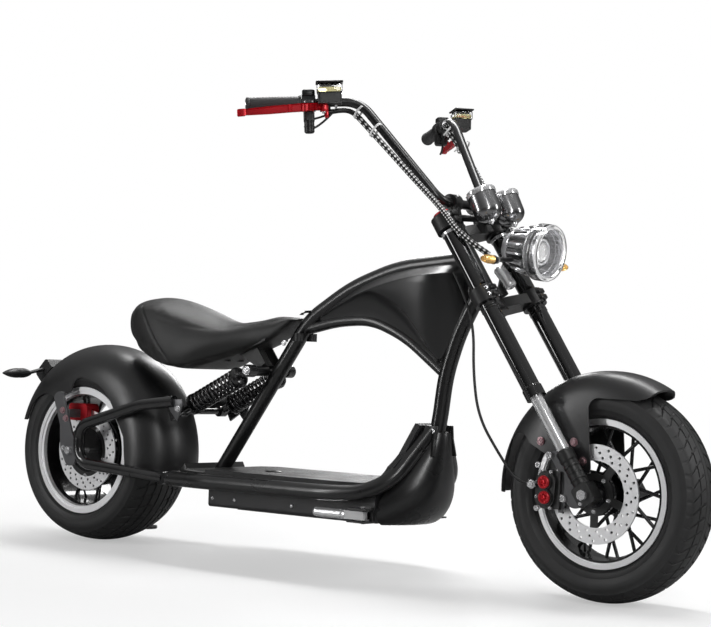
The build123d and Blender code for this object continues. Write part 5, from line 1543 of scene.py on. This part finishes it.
# Which finish each CAD node that stays takes
DRESS: dict[str, tuple[str, ...]] = {
    "frame_black": ("spine_frame", "deck_rails", "handlebar", "peg_brackets", "side_stand"),
    "arm_black": ("swingarm",),
    "body_black": ("rear_fender", "front_fender", "tail_lamp"),
    "tank_black": ("tank_body",),
    "cast_black": ("upper_yoke", "lower_yoke", "fork_legs", "brake_masters", "front_caliper", "seat_bracket"),
    "gloss_black": ("fork_tubes",),
    "plate_grey": ("axle_plates", "caliper_bracket"),
    "deck_metal": ("battery_box", "deck_pan"),
    "mat_rubber": ("deck_mat",),
    "seat_leather": ("seat",),
    "tyre_rubber": ("front_tyre", "rear_tyre"),
    "front_rim": ("front_rim",),
    "rear_rim": ("rear_rim",),
    "front_disc": ("front_disc",),
    "rear_disc": ("rear_disc",),
    "chrome": ("stanchions", "horn", "right_peg", "left_peg"),
    "spring_black": ("shock_springs", "shock_absorbers"),
    "caliper_red": ("rear_caliper", "caliper_pistons"),
    "lever_red": ("brake_levers",),
    "grip_rubber": ("grips",),
    "black_plastic": ("switch_housings", "rear_signals"),
    "guard_plastic": ("nose_guard",),
    "clear_plastic": ("reservoirs", "headlight"),
    "smoked_chrome": ("gauges",),
    "amber": ("front_signals",),
    "bolt_steel": ("front_axle", "rear_axle", "stand_pin"),
    "hose_rubber": ("brake_hose", "looms"),
}


def dress_nodes(stock: Stock) -> None:
    """Give every CAD node its finish."""
    for finish, names in DRESS.items():
        for name in names:
            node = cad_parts[name]
            for slot in node.material_slots:
                slot.material = stock[finish]
            LOG.info("node %s in %s", name, finish)


@dataclass
class Studio:
    """Floor, world, lamps and camera."""

    # Strengths of the room: as it lights, and as reflections see it low down and overhead
    room: float = 0.13
    low: float = 0.07
    overhead: float = 0.36
    # Share of plain white in the floor under the vehicle
    lift: float = 0.42
    lens: float = 96.44
    eye: Point = (3.761, -3.649, 0.750)
    yaw: float = math.radians(-38.269)
    pitch: float = math.radians(1.465)
    floor_size: float = 40.0

    def build(self) -> None:
        """Set up the whole studio."""
        bpy.context.scene.view_settings.view_transform = "Standard"
        self.world()
        self.floor()
        self.lamps()
        self.camera()

    def world(self) -> None:
        """White room: seen white, and lighting at a plain level."""
        world = bpy.data.worlds.new("room")
        bpy.context.scene.world = world
        world.use_nodes = True
        wire = Wiring(world.node_tree)
        back = world.node_tree.nodes["Background"]
        path = wire.node("LightPath")
        seen = wire.math("MAXIMUM", path.outputs["Is Camera Ray"], path.outputs["Is Transmission Ray"])
        height = wire.node("SeparateXYZ", {0: wire.node("TexCoord").outputs["Generated"]}).outputs[2]
        above = wire.node("MapRange", {0: height, 1: 0.1, 2: 0.8, 3: self.low, 4: self.overhead},
                          interpolation_type="SMOOTHSTEP")
        lit = wire.node("Mix", {0: path.outputs["Is Glossy Ray"], 2: self.room, 3: above.outputs[0]}).outputs[0]
        back.inputs["Color"].default_value = (1, 1, 1, 1)
        world.node_tree.links.new(wire.node("Mix", {0: seen, 2: lit, 3: 1.0}).outputs[0], back.inputs["Strength"])

    def floor(self) -> None:
        """Pale floor that keeps the vehicle's shadow and fades into the room."""
        form = bmesh.new()
        bmesh.ops.create_grid(form, x_segments=1, y_segments=1, size=self.floor_size / 2)
        ground = linked("floor", mesh_of(form, "floor"))
        material = bpy.data.materials.new("pale_floor")
        material.use_nodes = True
        tree = material.node_tree
        wire = Wiring(tree)
        shader, out = tree.nodes["Principled BSDF"], tree.nodes["Material Output"]
        shader.inputs["Roughness"].default_value = 0.6
        shader.inputs["Specular IOR Level"].default_value = 0.1
        spot = wire.node("TexCoord").outputs["Object"]
        reach = wire.node("VectorMath", {0: spot}, operation="LENGTH").outputs["Value"]
        far = wire.node("MapRange", {0: reach, 1: 0.7, 2: 1.9}, interpolation_type="SMOOTHSTEP").outputs[0]
        white = wire.node("Emission", {"Color": (1, 1, 1, 1), "Strength": 1.0})
        path = wire.node("LightPath")
        seen = wire.math("MAXIMUM", path.outputs["Is Camera Ray"], path.outputs["Is Transmission Ray"])
        tree.links.new(wire.blend(path.outputs["Is Glossy Ray"], (0.9, 0.9, 0.9), (0.3, 0.3, 0.3)),
                       shader.inputs["Base Color"])
        lift = wire.node("Mix", {0: far, 2: self.lift, 3: 1.0}).outputs[0]
        mix = wire.node("MixShader", {0: wire.math("MULTIPLY", seen, lift), 1: shader.outputs[0],
                                      2: white.outputs[0]})
        tree.links.new(mix.outputs[0], out.inputs["Surface"])
        ground.data.materials.append(material)

    def lamp(self, name: str, place: Point, aim: Point, power: float, size: tuple[float, float]) -> None:
        """Soft rectangular lamp aimed at a point."""
        light = bpy.data.lights.new(name, "AREA")
        light.shape = "RECTANGLE"
        light.size, light.size_y = size
        light.energy = power
        holder = linked(name, light)
        holder.location = place
        holder.rotation_euler = (Vector(aim) - Vector(place)).to_track_quat("-Z", "Y").to_euler()

    def lamps(self) -> None:
        """Overhead, side and front lamps."""
        self.lamp("overhead", (0.1, 0.5, 2.6), (0.0, 0.0, 0.4), 70, (3.2, 0.5))
        self.lamp("front_right", (2.9, -2.2, 1.9), (0.4, 0.0, 0.5), 34, (0.35, 2.2))
        self.lamp("rear_right", (-1.9, -2.9, 1.5), (-0.3, 0.0, 0.4), 34, (0.4, 2.2))
        self.lamp("front_left", (3.2, 1.6, 1.7), (0.6, 0.0, 0.6), 30, (0.3, 2.0))
        self.lamp("rear_left", (-1.8, 2.6, 1.8), (-0.3, 0.0, 0.6), 26, (0.4, 2.0))

    def camera(self) -> None:
        """Camera at the photograph's angle."""
        lens = bpy.data.cameras.new("camera")
        lens.lens = self.lens
        lens.sensor_width = 36.0
        lens.sensor_fit = "HORIZONTAL"
        lens.clip_end = 100
        holder = linked("camera", lens)
        holder.location = Vector(self.eye) + SHIFT
        look = Vector((math.sin(self.yaw) * math.cos(self.pitch), math.cos(self.yaw) * math.cos(self.pitch),
                       -math.sin(self.pitch)))
        holder.rotation_euler = look.to_track_quat("-Z", "Y").to_euler()
        bpy.context.scene.camera = holder


def main() -> None:
    """Build the vehicle and its studio."""
    logging.basicConfig(level=logging.INFO, format="%(message)s")
    stock = Stock()
    Studio().build()
    dress_nodes(stock)
    for assembly in (FRONT_TYRE, REAR_TYRE, Tank(), FRONT_FENDER, REAR_FENDER, Saddle(), Signals(), Headlight(),
                     Gauges(), Controls(), Cables(), Fasteners()):
        assembly.build(stock)


if __name__ == "__main__":
    main()
